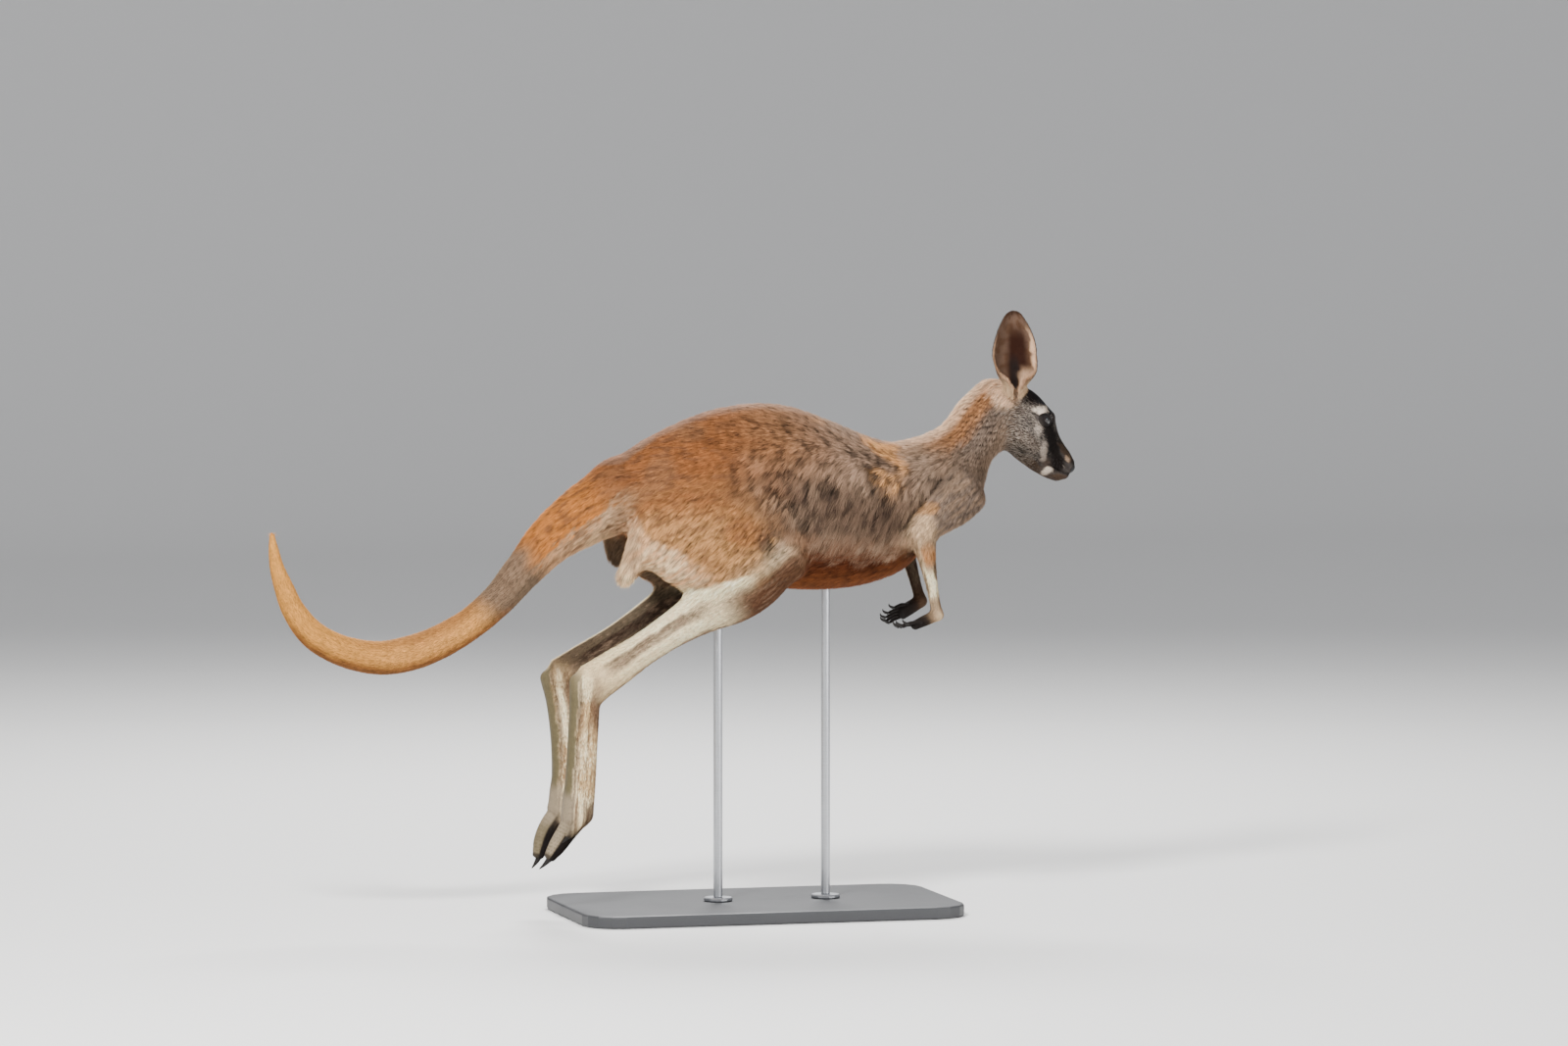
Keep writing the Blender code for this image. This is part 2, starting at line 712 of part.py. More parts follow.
def grown(obj, name, by):
    """A copy whose vertices stand out along their normals."""
    twin = copy_of(obj, name)
    twin.data.update()
    points = vertex_array(twin.data) + by * vertex_array(twin.data, "normal")
    twin.data.vertices.foreach_set("co", points.astype(np.float32).ravel())
    twin.data.update()
    return twin


def ball(name, place, size, segments=20, rings=12):
    """An ellipsoid with half sizes along x, y and z."""
    bpy.ops.mesh.primitive_uv_sphere_add(segments=segments, ring_count=rings)
    obj = bpy.context.object
    obj.name = name
    obj.data.transform(Matrix.Translation(place) @ Matrix.Diagonal((*size, 1.0)))
    return obj


def claw(name, root, tip, radius, droop, sides=8, rings=7):
    """A curved tapering claw; droop bends its middle away from the straight line."""
    root, tip = np.asarray(root, float), np.asarray(tip, float)
    share = np.linspace(0, 1, rings)
    bend = 4 * share * (1 - share)
    middle = root + (tip - root) * share[:, None] + np.asarray(droop) * bend[:, None]
    along = unit(np.gradient(middle, axis=0))
    side = unit(np.cross(along, (0.02, 0.03, 1.0)))
    rise = np.cross(side, along)
    turn = 2 * math.pi * np.arange(sides) / sides
    thick = radius * (1 - 0.86 * share**1.4)
    circle = np.cos(turn)[None, :, None] * side[:, None] * 0.8
    circle = circle + np.sin(turn)[None, :, None] * rise[:, None]
    points = (middle[:, None] + circle * thick[:, None, None]).reshape(-1, 3)
    faces = [tuple(range(sides)), tuple(range(len(points) - sides, len(points)))]
    for r in range(rings - 1):
        for k in range(sides):
            a, b = r * sides + k, r * sides + (k + 1) % sides
            faces.append((a, b, b + sides, a + sides))
    return new_object(name, points, faces)


def trimmed(obj, bodies):
    """Cuts away what lies inside each body, leaving a gap."""
    for body in bodies:
        cutter = grown(body, "cutter", GAP)
        boolean(obj, cutter, "DIFFERENCE")
        drop(cutter)
    return largest_piece(obj)


def rooted(obj, body):
    """Opens a socket in the body that holds the object's root with a gap all round."""
    cutter = grown(obj, "cutter", GAP)
    boolean(body, cutter, "DIFFERENCE")
    drop(cutter)
    largest_piece(body)
    return obj


def rod(name, x, low, high, radius, sides=16):
    """An upright round bar."""
    bpy.ops.mesh.primitive_cylinder_add(
        vertices=sides, radius=radius, depth=high - low, location=(x, 0, (low + high) / 2)
    )
    obj = bpy.context.object
    obj.name = name
    obj.data.transform(obj.matrix_world)
    obj.matrix_world = Matrix.Identity(4)
    return obj


def bevelled(obj, width, segments=2):
    """Rounds the sharp edges."""
    edge = obj.modifiers.new("edge", "BEVEL")
    edge.width = width
    edge.segments = segments
    edge.limit_method = "ANGLE"
    edge.angle_limit = math.radians(40)
    return settle(obj)


# --- Stand --------------------------------------------------------------------------------
def stand_base():
    """A flat plate with round corners, standing on z = 0."""
    corner_steps = 5
    outline = []
    for k, (sx, sy) in enumerate(((1, 1), (-1, 1), (-1, -1), (1, -1))):
        cx = sx * (BASE_LENGTH / 2 - BASE_CORNER)
        cy = sy * (BASE_WIDTH / 2 - BASE_CORNER)
        for j in range(corner_steps):
            angle = math.pi / 2 * (k + j / (corner_steps - 1))
            x = cx + BASE_CORNER * math.cos(angle)
            outline.append((x, cy + BASE_CORNER * math.sin(angle)))
    count = len(outline)
    points = [(x, y, z) for z in (0.0, BASE_THICKNESS) for x, y in outline]
    faces = [tuple(range(count)), tuple(range(count, 2 * count))]
    for k in range(count):
        n = (k + 1) % count
        faces.append((k, n, n + count, k + count))
    return bevelled(new_object("stand_base", points, faces), BASE_EDGE)


def belly_height(body, x):
    """Height of the body's underside over the middle of the base."""
    hit, place, _, _ = body.ray_cast(Vector((x, 0, 0.1)), Vector((0, 0, 1)))
    return place.z if hit else 0.5


def stand_rods(body):
    """Both rods with their flanges; each rod ends in a blind socket in the body."""
    nodes = []
    for name, x in (("front", ROD_FRONT_X), ("rear", ROD_REAR_X)):
        top = belly_height(body, x) + ROD_DEPTH
        flange_low = BASE_THICKNESS + GAP
        flange_top = flange_low + FLANGE_THICKNESS
        flange = rod(f"stand_flange_{name}", x, flange_low, flange_top, FLANGE_RADIUS)
        bevelled(flange, FLANGE_THICKNESS / 4, 1)
        bar = rod(f"stand_rod_{name}", x, flange_top + GAP, top, ROD_RADIUS)
        bevelled(bar, ROD_RADIUS / 10, 1)
        socket = rod("socket", x, flange_top + GAP, top + GAP, ROD_RADIUS + ROD_ROOM)
        boolean(body, socket, "DIFFERENCE")
        drop(socket)
        nodes += [flange, bar]
    return nodes


# --- Nodes --------------------------------------------------------------------------------
def side_name(arm_or_leg, key):
    """Which side a chain of joints is on."""
    return "left" if arm_or_leg[key][1] > 0 else "right"


def between(a, b, share):
    """The point a share of the way from a to b."""
    return np.asarray(a, float) * (1 - share) + np.asarray(b, float) * share


def cut_leg(body, leg):
    """Cuts toes, foot, shin and thigh from one side, from the ground up."""
    side = side_name(leg, "ball")
    out = math.copysign(1.0, leg["ball"][1])
    toe_start = between(leg["ball"], leg["toe"], TOE_START)
    toe_end = between(leg["ball"], leg["toe"], 1.35)
    outer = np.array((0, out * 0.0272, 0))
    inner = np.array((0, -out * 0.0252, 0))
    foot_start = between(leg["ankle"], leg["ball"], FOOT_START)
    foot_end = np.array(leg["ball"]) + (0, 0, -0.06)
    shin_start = between(leg["knee"], leg["ankle"], SHIN_START)
    shin_end = between(leg["knee"], leg["ankle"], 1.18)
    boxes = (
        ("toe_outer", toe_start + outer, toe_end + outer, 0.0145, 0.03, 0.03),
        ("toe_inner", toe_start + inner, toe_end + inner, 0.0125, 0.03, 0.03),
        ("toe_main", toe_start, toe_end, 0.034, 0.04, 0.04),
        ("foot", foot_start, foot_end, 0.036, 0.07, 0.05),
        ("shin", shin_start, shin_end, 0.036, 0.10, 0.075),
    )
    nodes = [cut_node(body, f"{name}_{side}", *box) for name, *box in boxes]
    lean = np.array((0, out * (THIGH_TOP[0] - THIGH_LOW[0]), THIGH_TOP[1] - THIGH_LOW[1]))
    rear, front = (np.array((x, out * THIGH_MIDDLE[0], THIGH_MIDDLE[1])) for x in THIGH_SPAN)
    across = unit(np.cross(lean, (1, 0, 0)))
    nodes.append(cut_node(body, f"thigh_{side}", rear, front, *THIGH_BOX, across=across))
    return nodes


def cut_arm(body, arm):
    """Cuts hand, forearm and upper arm from one side."""
    side = side_name(arm, "wrist")
    out = math.copysign(1.0, arm["wrist"][1])
    hand_top = np.array(arm["wrist"]) + (-0.028, 0, -0.004)
    hand_low = hand_top + (0, 0, -0.06)
    forearm_top = between(arm["elbow"], arm["wrist"], FOREARM_START)
    forearm_low = np.array(arm["wrist"]) + (0, 0, -0.02)
    middle = between(arm["shoulder"], arm["elbow"], 0.5) * (1, 0, 1) + (0, out * 0.098, 0)
    rear = middle + (-0.075, 0, -0.008)
    front = middle + (0.062, 0, 0.006)
    boxes = (
        ("hand", hand_top, hand_low, 0.034, 0.060, 0.065),
        ("forearm", forearm_top, forearm_low, 0.0225, 0.05, 0.04),
        ("upper_arm", rear, front, 0.046, 0.062, 0.058),
    )
    return [cut_node(body, f"{name}_{side}", *box) for name, *box in boxes]


def cut_body(body):
    """Cuts the body into its nodes; what is left is the trunk."""
    nodes = [cut_node(body, *box) for box in MIDDLE_CUTS]
    for leg in (NEAR_LEG, FAR_LEG):
        nodes += cut_leg(body, leg)
    for arm in (NEAR_ARM, FAR_ARM):
        nodes += cut_arm(body, arm)
    nodes += [cut_node(body, *box) for box in HEAD_CUTS]
    body.name = "trunk"
    nodes.append(body)
    return {node.name: cleaned(node) for node in nodes}


def add_eyes(nodes):
    """Eyeballs in matching sockets of the head."""
    eyes = []
    for side, place in (("left", EYE_PLACE), ("right", mirrored(EYE_PLACE))):
        socket = ball("socket", place, (EYE_RADIUS + GAP,) * 3, 12, 8)
        boolean(nodes["head"], socket, "DIFFERENCE")
        drop(socket)
        eyes.append(ball(f"eye_{side}", place, (EYE_RADIUS,) * 3, 12, 8))
    return eyes


def add_nose(nodes):
    """The bare nose pad, set into the front of the head."""
    hollow = ball("hollow", NOSE_PLACE, [v + GAP for v in NOSE_SIZE], 12, 7)
    boolean(nodes["head"], hollow, "DIFFERENCE")
    drop(hollow)
    return [ball("nose", NOSE_PLACE, NOSE_SIZE, 12, 7)]


def add_ears(nodes):
    """Both ears, trimmed where they meet the head and neck."""
    ears = []
    for side, base, tip, opening in EARS:
        outer, inner = ear_points(base, tip, opening)
        ear = sheet_solid(f"ear_{side}", outer, inner)
        ears.append(trimmed(ear, [nodes["head"], nodes["neck"]]))
    return ears


def add_hand_claws(nodes, arm):
    """The five claws of one hand, each rooted in its finger."""
    side = side_name(arm, "wrist")
    reach = unit(np.array(arm["fingers"]) - np.array(arm["knuckles"]))
    rise = np.array((0, 0, 1.0))
    claws = []
    for k, (_, tip) in enumerate(finger_ends(arm)):
        start = tip - reach * 0.001
        end = start + (reach + rise) * HAND_CLAW * 0.62
        name = f"claw_hand_{side}_{k + 1}"
        piece = claw(name, start, end, HAND_CLAW_RADIUS, reach * 0.0035, 6, 5)
        claws.append(rooted(piece, nodes[f"hand_{side}"]))
    return claws


def add_foot_claws(nodes, leg):
    """The three claws of one foot, each rooted in its toe."""
    side = side_name(leg, "ball")
    out = math.copysign(1.0, leg["ball"][1])
    ball_joint, toe, tip = (np.array(leg[key]) for key in ("ball", "toe", "claw"))
    forward = unit(tip - toe)
    root = toe - forward * 0.006
    main = claw(f"claw_main_{side}", root, tip, FOOT_CLAW_RADIUS, (0.003, 0, 0.0005))
    claws = [rooted(main, nodes[f"toe_main_{side}"])]
    for name, (share, shift, radius) in SIDE_TOES.items():
        end = ball_joint + share * (toe - ball_joint) + (0.005, out * shift, 0.005)
        root = end - forward * 0.002
        tip = end + forward * SIDE_CLAW
        piece = claw(f"claw_{name}_{side}", root, tip, radius, (0.002, 0, 0), 6, 5)
        claws.append(rooted(piece, nodes[f"toe_{name}_{side}"]))
    return claws


def material(name, colour, roughness, metallic=0.0):
    """A Principled material."""
    made = bpy.data.materials.new(name)
    made.use_nodes = True
    shader = made.node_tree.nodes["Principled BSDF"]
    shader.inputs["Base Color"].default_value = (*colour, 1.0)
    shader.inputs["Roughness"].default_value = roughness
    shader.inputs["Metallic"].default_value = metallic
    return made


def paint(objects):
    """Gives each node its own material and smooth shading."""
    for obj in objects:
        finish = next(row for row in FINISHES if obj.name.startswith(row[0]))
        _, colour, roughness, metallic = finish
        made = material(obj.name + "_finish", COLOURS[colour], roughness, metallic)
        obj.data.materials.clear()
        obj.data.materials.append(made)
        obj.data.shade_smooth()
        obj.data.set_sharp_from_angle(angle=SMOOTH_ANGLE)


def main():
    """Builds every node."""
    clear_scene()
    body = make_body(body_tubes())
    stand = [stand_base()] + stand_rods(body)
    nodes = cut_body(body)
    parts = list(nodes.values()) + stand
    for arm in (NEAR_ARM, FAR_ARM):
        parts += add_hand_claws(nodes, arm)
    for leg in (NEAR_LEG, FAR_LEG):
        parts += add_foot_claws(nodes, leg)
    parts += add_ears(nodes)
    parts += add_eyes(nodes)
    parts += add_nose(nodes)
    paint(parts)


if __name__ == "__main__":
    main()
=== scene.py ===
"""Red kangaroo in mid-leap on a plain stand: skin, coat, eyes, nose, claws, whiskers and stage.

Metres, +X the way the animal leaps, +Y its left, +Z up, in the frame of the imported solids.
The body is a set of tapered tubes blended into one surface. The skin lies under that surface by
the depth of the coat, and the coat is made of tufts that lie between the two.
"""

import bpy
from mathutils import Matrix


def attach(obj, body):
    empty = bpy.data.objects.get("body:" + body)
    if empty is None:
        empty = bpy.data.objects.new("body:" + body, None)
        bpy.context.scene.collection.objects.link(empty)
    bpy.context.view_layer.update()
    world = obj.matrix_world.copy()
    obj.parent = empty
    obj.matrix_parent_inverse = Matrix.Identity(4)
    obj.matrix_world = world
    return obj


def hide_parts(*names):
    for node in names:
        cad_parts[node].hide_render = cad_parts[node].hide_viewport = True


bl_info = {
    "name": "Leaping kangaroo model",
    "version": (1, 0, 0),
    "blender": (4, 5, 0),
    "location": "View3D > Sidebar > Kangaroo",
    "description": "Builds the skin, coat and details of a still model of a leaping red kangaroo",
    "category": "Add Mesh",
}

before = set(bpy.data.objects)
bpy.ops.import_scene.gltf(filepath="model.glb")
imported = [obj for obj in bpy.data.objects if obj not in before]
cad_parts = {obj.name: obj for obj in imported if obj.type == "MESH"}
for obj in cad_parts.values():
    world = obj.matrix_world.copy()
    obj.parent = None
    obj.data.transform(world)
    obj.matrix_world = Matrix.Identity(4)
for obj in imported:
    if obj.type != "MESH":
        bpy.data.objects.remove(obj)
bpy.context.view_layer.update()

import math
from types import SimpleNamespace

import bmesh
import bpy
import numpy as np
from mathutils import Vector

# --- Sizes of the body, as in the solids --------------------------------------------------
SPAN_STEPS = 6  # samples of a smoothed curve between two rows
RING_POINTS = 24
VOXEL = 0.0040

# Trunk: x, top, underside, half width. Tail: x, z, radius. Neck: x, z, half width, above, below.
# Chest: x, y, z and the same three. Other profiles: share of the way, half width, above, below.
TRUNK = (
    (-0.225, 0.743, 0.640, 0.056), (-0.160, 0.789, 0.592, 0.088), (-0.085, 0.821, 0.562, 0.110),
    (-0.015, 0.833, 0.542, 0.119), (0.055, 0.829, 0.530, 0.119), (0.125, 0.805, 0.528, 0.112),
    (0.195, 0.776, 0.537, 0.097), (0.255, 0.765, 0.563, 0.081), (0.308, 0.770, 0.626, 0.068),
    (0.350, 0.758, 0.656, 0.054),
)
TAIL = (
    (-0.170, 0.708, 0.051), (-0.225, 0.688, 0.0510), (-0.280, 0.659, 0.0520),
    (-0.337, 0.621, 0.0425), (-0.378, 0.579, 0.0350), (-0.427, 0.524, 0.0298),
    (-0.476, 0.483, 0.0282), (-0.524, 0.456, 0.0294), (-0.573, 0.438, 0.0304),
    (-0.627, 0.431, 0.0290), (-0.686, 0.443, 0.0264), (-0.735, 0.470, 0.0238),
    (-0.767, 0.510, 0.0200), (-0.784, 0.550, 0.0164), (-0.795, 0.582, 0.0124),
    (-0.800, 0.611, 0.0086), (-0.802, 0.631, 0.0050),
)
NECK = (
    (0.285, 0.690, 0.064, 0.077, 0.056), (0.325, 0.714, 0.056, 0.075, 0.050),
    (0.362, 0.755, 0.049, 0.060, 0.044), (0.392, 0.796, 0.045, 0.057, 0.054),
    (0.418, 0.828, 0.040, 0.051, 0.056),
)
CHEST = (
    (0.292, 0, 0.690, 0.058, 0.060, 0.056), (0.346, 0, 0.704, 0.044, 0.045, 0.042),
)
HEAD_AXIS = ((0.4193, 0.0, 0.8310), (0.5317, 0.0, 0.7223))
HEAD = (
    (0.00, 0.031, 0.038, 0.024), (0.16, 0.041, 0.049, 0.036), (0.34, 0.046, 0.049, 0.048),
    (0.50, 0.044, 0.045, 0.052), (0.66, 0.033, 0.030, 0.049), (0.78, 0.0255, 0.0235, 0.0455),
    (0.91, 0.0215, 0.0195, 0.0395), (1.00, 0.0190, 0.0150, 0.0320),
)
BROW = ((0.0, 0.010, 0.008, 0.010), (1.0, 0.007, 0.006, 0.008))
LIP = ((0.0, 0.010, 0.010, 0.010), (1.0, 0.008, 0.009, 0.008))
EAR_ROOT = ((0.0, 0.019, 0.024, 0.022), (1.0, 0.010, 0.012, 0.011))
CHEEK = ((0.0, 0.014, 0.022, 0.024), (1.0, 0.011, 0.014, 0.016))
# Small forms of the left half of the head: profile, start, end, blend
HEAD_FORMS = {
    "lip": (LIP, (0.512, 0.009, 0.7120), (0.5235, 0.007, 0.7095), 0.010),
    "brow": (BROW, (0.470, 0.029, 0.822), (0.497, 0.027, 0.807), 0.012),
    "cheek": (CHEEK, (0.450, 0.030, 0.776), (0.478, 0.029, 0.758), 0.016),
    "ear": (EAR_ROOT, (0.420, 0.022, 0.836), (0.421, 0.029, 0.853), 0.012),
}

NEAR_LEG = {
    "haunch": (-0.188, -0.070, 0.628),
    "knee": (0.036, -0.088, 0.598),
    "ankle": (-0.297, -0.062, 0.388),
    "ball": (-0.311, -0.058, 0.176),
    "toe": (-0.358, -0.058, 0.107),
    "claw": (-0.376, -0.057, 0.087),
    "bow": 0.0,
}
FAR_LEG = {
    "haunch": (-0.200, 0.068, 0.626),
    "knee": (0.036, 0.088, 0.600),
    "ankle": (-0.316, 0.062, 0.388),
    "ball": (-0.305, 0.058, 0.176),
    "toe": (-0.350, 0.056, 0.098),
    "claw": (-0.362, 0.055, 0.076),
    "bow": 0.008,
}
THIGH = (
    (0.00, 0.046, 0.058, 0.056), (0.22, 0.055, 0.085, 0.083), (0.48, 0.055, 0.092, 0.090),
    (0.72, 0.048, 0.074, 0.074), (0.90, 0.037, 0.050, 0.054), (1.00, 0.031, 0.036, 0.040),
)
SHIN = (
    (0.03, 0.031, 0.044, 0.034), (0.18, 0.036, 0.059, 0.050), (0.31, 0.035, 0.058, 0.050),
    (0.44, 0.028, 0.044, 0.035), (0.57, 0.021, 0.0350, 0.0280), (0.72, 0.0170, 0.0325, 0.0245),
    (0.86, 0.0165, 0.0370, 0.0270), (0.98, 0.0185, 0.0405, 0.0290),
)
FOOT = (
    (0.00, 0.0200, 0.0240, 0.0300), (0.20, 0.0195, 0.0240, 0.0270), (0.48, 0.0200, 0.0245, 0.0260),
    (0.76, 0.0220, 0.0255, 0.0255), (1.00, 0.0235, 0.0250, 0.0260),
)
TOE_FOUR = (
    (0.10, 0.0150, 0.0215, 0.0190), (0.45, 0.0128, 0.0175, 0.0165), (0.75, 0.0115, 0.0150, 0.0145),
    (1.00, 0.0085, 0.0100, 0.0105),
)
OUTER_TOE = ((0.0, 0.0080, 0.0105, 0.0100), (1.0, 0.0060, 0.0075, 0.0075))
INNER_TOE = ((0.0, 0.0065, 0.0085, 0.0085), (1.0, 0.0055, 0.0065, 0.0065))
TUFT = ((0.0, 0.024, 0.030, 0.026), (1.0, 0.012, 0.018, 0.014))
TUFT_HANG = {"right": (-0.034, -0.050), "left": (-0.006, -0.024)}
# Side toe: profile, start beside the ball, share of the long toe, end, half width of its claw
SIDE_TOES = {
    "outer": (OUTER_TOE, (0.004, 0.0150, -0.004), 0.52, (0.004, 0.0205, 0.004), 0.0042),
    "inner": (INNER_TOE, (0.006, -0.0140, 0.002), 0.40, (0.006, -0.0170, 0.008), 0.0032),
}
SIDE_CLAW = 0.019
FOOT_CLAW_RADIUS = 0.0062
# Dark grooves along the foot, painted shade: height round it, half width, strength
FOOT_GROOVES = ((-0.30, 0.10, 0.80), (0.18, 0.12, 0.75), (0.52, 0.08, 0.45))

NEAR_ARM = {
    "shoulder": (0.346, -0.050, 0.692),
    "elbow": (0.262, -0.074, 0.626),
    "wrist": (0.2935, -0.058, 0.486),
    "knuckles": (0.258, -0.054, 0.470),
    "fingers": (0.231, -0.050, 0.467),
    "roll": -0.20,
}
FAR_ARM = {
    "shoulder": (0.346, 0.050, 0.692),
    "elbow": (0.262, 0.074, 0.640),
    "wrist": (0.2975, 0.055, 0.500),
    "knuckles": (0.266, 0.054, 0.482),
    "fingers": (0.236, 0.050, 0.474),
    "roll": -0.80,
}
UPPER_ARM = (
    (0.00, 0.026, 0.044, 0.040), (0.35, 0.028, 0.043, 0.040), (0.70, 0.026, 0.033, 0.032),
    (1.00, 0.022, 0.024, 0.026),
)
FOREARM = (
    (0.04, 0.0210, 0.0230, 0.0220), (0.35, 0.0150, 0.0160, 0.0155), (0.62, 0.0105, 0.0112, 0.0108),
    (0.86, 0.0095, 0.0095, 0.0095), (1.00, 0.0108, 0.0100, 0.0100),
)
PALM = (
    (0.00, 0.0115, 0.0100, 0.0100), (0.50, 0.0150, 0.0094, 0.0094), (1.00, 0.0165, 0.0078, 0.0078),
)
FINGER_SPREAD = (-0.0140, -0.0072, 0.0, 0.0070, 0.0132)
FINGER_REACH = (0.62, 0.92, 1.0, 0.92, 0.66)
FINGER_LIFT = 0.003  # rise of a finger's arch
FINGER_SIDES = 14
HAND_CLAW = 0.017
HAND_CLAW_RADIUS = 0.0026
# Limb: its two joints, profile, share of the foot's bow, and how it is rounded and blended
LEG_PARTS = {
    "thigh": ("haunch", "knee", THIGH, 0, {"power": 2.2, "blend": 0.035, "caps": (0.7, 0.75)}),
    "shin": ("knee", "ankle", SHIN, 0, {"blend": 0.022, "caps": (0.6, 0.8)}),
    "foot": ("ankle", "ball", FOOT, 1, {"power": 2.4, "blend": 0.014, "caps": (0.9, 0.8)}),
    "toe": ("ball", "toe", TOE_FOUR, -1, {"power": 2.3, "blend": 0.008, "caps": (0.6, 0.8)}),
}
ARM_PARTS = {
    "upper": ("shoulder", "elbow", UPPER_ARM, {"blend": 0.020, "caps": (0.8, 0.9)}),
    "fore": ("elbow", "wrist", FOREARM, {"blend": 0.010, "caps": (0.8, 0.9)}),
}

EARS = (
    ("right", (0.4290, -0.0330, 0.8480), (0.4225, -0.0560, 0.9810), (0.0, -1.0, 0.0)),
    ("left", (0.4330, 0.0330, 0.8480), (0.4560, 0.0580, 0.9720), (1.0, 0.10, 0.0)),
)
EAR_HALF_WIDTH = (
    (0.00, 0.0120), (0.14, 0.0220), (0.28, 0.0330), (0.45, 0.0370), (0.60, 0.0350), (0.76, 0.0275),
    (0.88, 0.0195), (0.95, 0.0140), (0.985, 0.0090), (1.00, 0.0050),
)
EAR_WALL = 0.0026  # thickness of the ear, and of its rim
EAR_RIM = 0.0014

EYE_RADIUS = 0.0118
EYE_PLACE = (0.4815, 0.0325, 0.8010)
EYE_OUT = (0.26, 0.95, 0.16)
EYE_HALF_LENGTH = 0.0098
EYE_UPPER = 0.0060
EYE_LOWER = 0.0046
ALMOND = 1.7  # power of the superellipse that outlines the eye
LID = 0.0011
LID_ZONE = 0.032  # how far round the eyeball the lids change the skin
SOCKET = 0.0022  # how far the skin goes under the eyeball's surface
LASHES = 34  # on each upper lid
MUZZLE_ROWS, MUZZLE_COLUMNS = 4, 5  # whiskers on each side of the muzzle
BROW_WHISKERS = 4
WHISKER_RADIUS = 0.00022
NOSE_PLACE = (0.5345, 0.0, 0.7210)
NOSE_SIZE = (0.0105, 0.0115, 0.0110)
UP = np.array((0.0, 0.0, 1.0))

# --- Colours of the coat, linear -----------------------------------------------------------
RUFOUS = (0.250, 0.090, 0.029)
TAIL_ORANGE = (0.400, 0.145, 0.034)
PAD = (0.250, 0.195, 0.130)
FAWN = (0.250, 0.120, 0.056)
BACK_GREY = (0.290, 0.185, 0.122)
RIM_GREY = (0.230, 0.155, 0.110)
FLANK_GREY = (0.066, 0.039, 0.026)
LOCK_TAN = (0.400, 0.270, 0.175)
# Painted shade: the belly's fur darkened, and darker still as painted shadow on its underside
BELLY_UNDERSIDE_SHADOW = (0.085, 0.022, 0.008)
BELLY_IN_SHADE = (0.170, 0.052, 0.016)
GOLD = (0.390, 0.195, 0.075)
WARM_WHITE = (0.630, 0.425, 0.250)
TAIL_GREY = (0.175, 0.120, 0.078)
TAIL_GOLD = (0.640, 0.300, 0.080)
TAIL_PALE = (0.600, 0.272, 0.058)
NAPE_CREAM = (0.690, 0.440, 0.270)
NAPE_ORANGE = (0.345, 0.150, 0.058)
NECK_GREY = (0.185, 0.132, 0.098)
SHOULDER_GREY = (0.265, 0.175, 0.115)
PATCH_ORANGE = (0.600, 0.290, 0.105)
CREAM = (0.970, 0.790, 0.490)
KNEE_BROWN = (0.115, 0.052, 0.027)
SHIN_GREY = (0.080, 0.048, 0.030)
# Painted shade on the inner sides of thighs, shins and forearms
INNER_SIDE_SHADE = (0.030, 0.015, 0.010)
FOOT_CREAM = (0.560, 0.370, 0.180)
SOLE = (0.110, 0.088, 0.045)
DARK = (0.010, 0.007, 0.006)
HEAD_GREY = (0.072, 0.060, 0.054)
# Near black: the head's dark top fur with painted shade in it
HEAD_BLUE = (0.012, 0.010, 0.012)
HEAD_BROWN = (0.090, 0.052, 0.030)
WHITE = (0.720, 0.600, 0.490)
ARM_TAN = (0.360, 0.255, 0.155)
ARM_BROWN = (0.090, 0.046, 0.025)
EAR_BROWN = (0.120, 0.070, 0.046)
EAR_DARK = (0.022, 0.006, 0.002)
EAR_BACK = (0.130, 0.085, 0.060)


# --- Small mathematics ----------------------------------------------------------------------
def unit(v):
    """Vectors scaled to length one."""
    v = np.asarray(v, float)
    return v / np.maximum(np.linalg.norm(v, axis=-1, keepdims=True), 1e-12)


def columns(*parts):
    """Arrays of one number a point side by side."""
    return np.stack(parts, axis=1)


def ramp(x, low, high):
    """Smoothstep: 0 at low, 1 at high, with 3t^2 - 2t^3 between; low may be above high."""
    t = np.clip((x - low) / (high - low), 0.0, 1.0)
    return t * t * (3 - 2 * t)


def bell(x, width):
    """A bell curve one high: e to the power of minus the square of x / width."""
    return np.exp(-((x / width) ** 2))


def zigzag(x):
    """A triangle wave: one at whole numbers, nought half way between them."""
    return np.abs(2 * (x - np.floor(x)) - 1)


def mixed(a, b, t):
    """Colour a turned into colour b by the share t."""
    t = np.asarray(t)[..., None]
    return np.asarray(a) * (1 - t) + np.asarray(b) * t


def painted(colour, *layers):
    """A colour with layers over it, each a colour and its share, the last on top."""
    for layer, share in layers:
        colour = mixed(colour, layer, share)
    return colour


def spots(x, z):
    """A maker of soft oval spots: one inside the ellipse, falling to nought a little outside it."""

    def spot(cx, cz, rx, rz, turn=0.0):
        cos, sin = math.cos(turn), math.sin(turn)
        u = ((x - cx) * cos + (z - cz) * sin) / rx
        v = ((z - cz) * cos - (x - cx) * sin) / rz
        return ramp(u * u + v * v, 1.7, 0.4)

    return spot


CELL_PRIMES = (73856093, 19349663, 83492791, 40503001)  # large primes that mix a cell's numbers
MIXERS = ((15, 2246822519), (13, 3266489917), (16, 1))  # shift and multiplier of each mixing step
WORD = 0xFFFFFFFF  # keeps the lowest 32 bits


def cell_value(i, j, k, seed):
    """A fixed random number from 0 to 1 for each whole-number cell."""
    i, j, k, seed = (number * prime for number, prime in zip((i, j, k, seed), CELL_PRIMES))
    h = i ^ j ^ k ^ seed
    for shift, multiplier in MIXERS:
        h = ((h & WORD) ^ ((h & WORD) >> shift)) * multiplier
    return h / float(WORD + 1)


def noise(points, seed=0):
    """Value noise: random numbers at the corners of unit cells, blended by smoothstep weights."""
    cell = np.floor(points).astype(np.int64)
    t = points - cell
    t = t * t * (3 - 2 * t)
    total = np.zeros(len(points))
    for corner in np.ndindex(2, 2, 2):
        weight = np.prod(np.where(np.array(corner) == 1, t, 1 - t), axis=1)
        i, j, k = (cell + np.array(corner)).T
        total += weight * cell_value(i, j, k, seed)
    return total


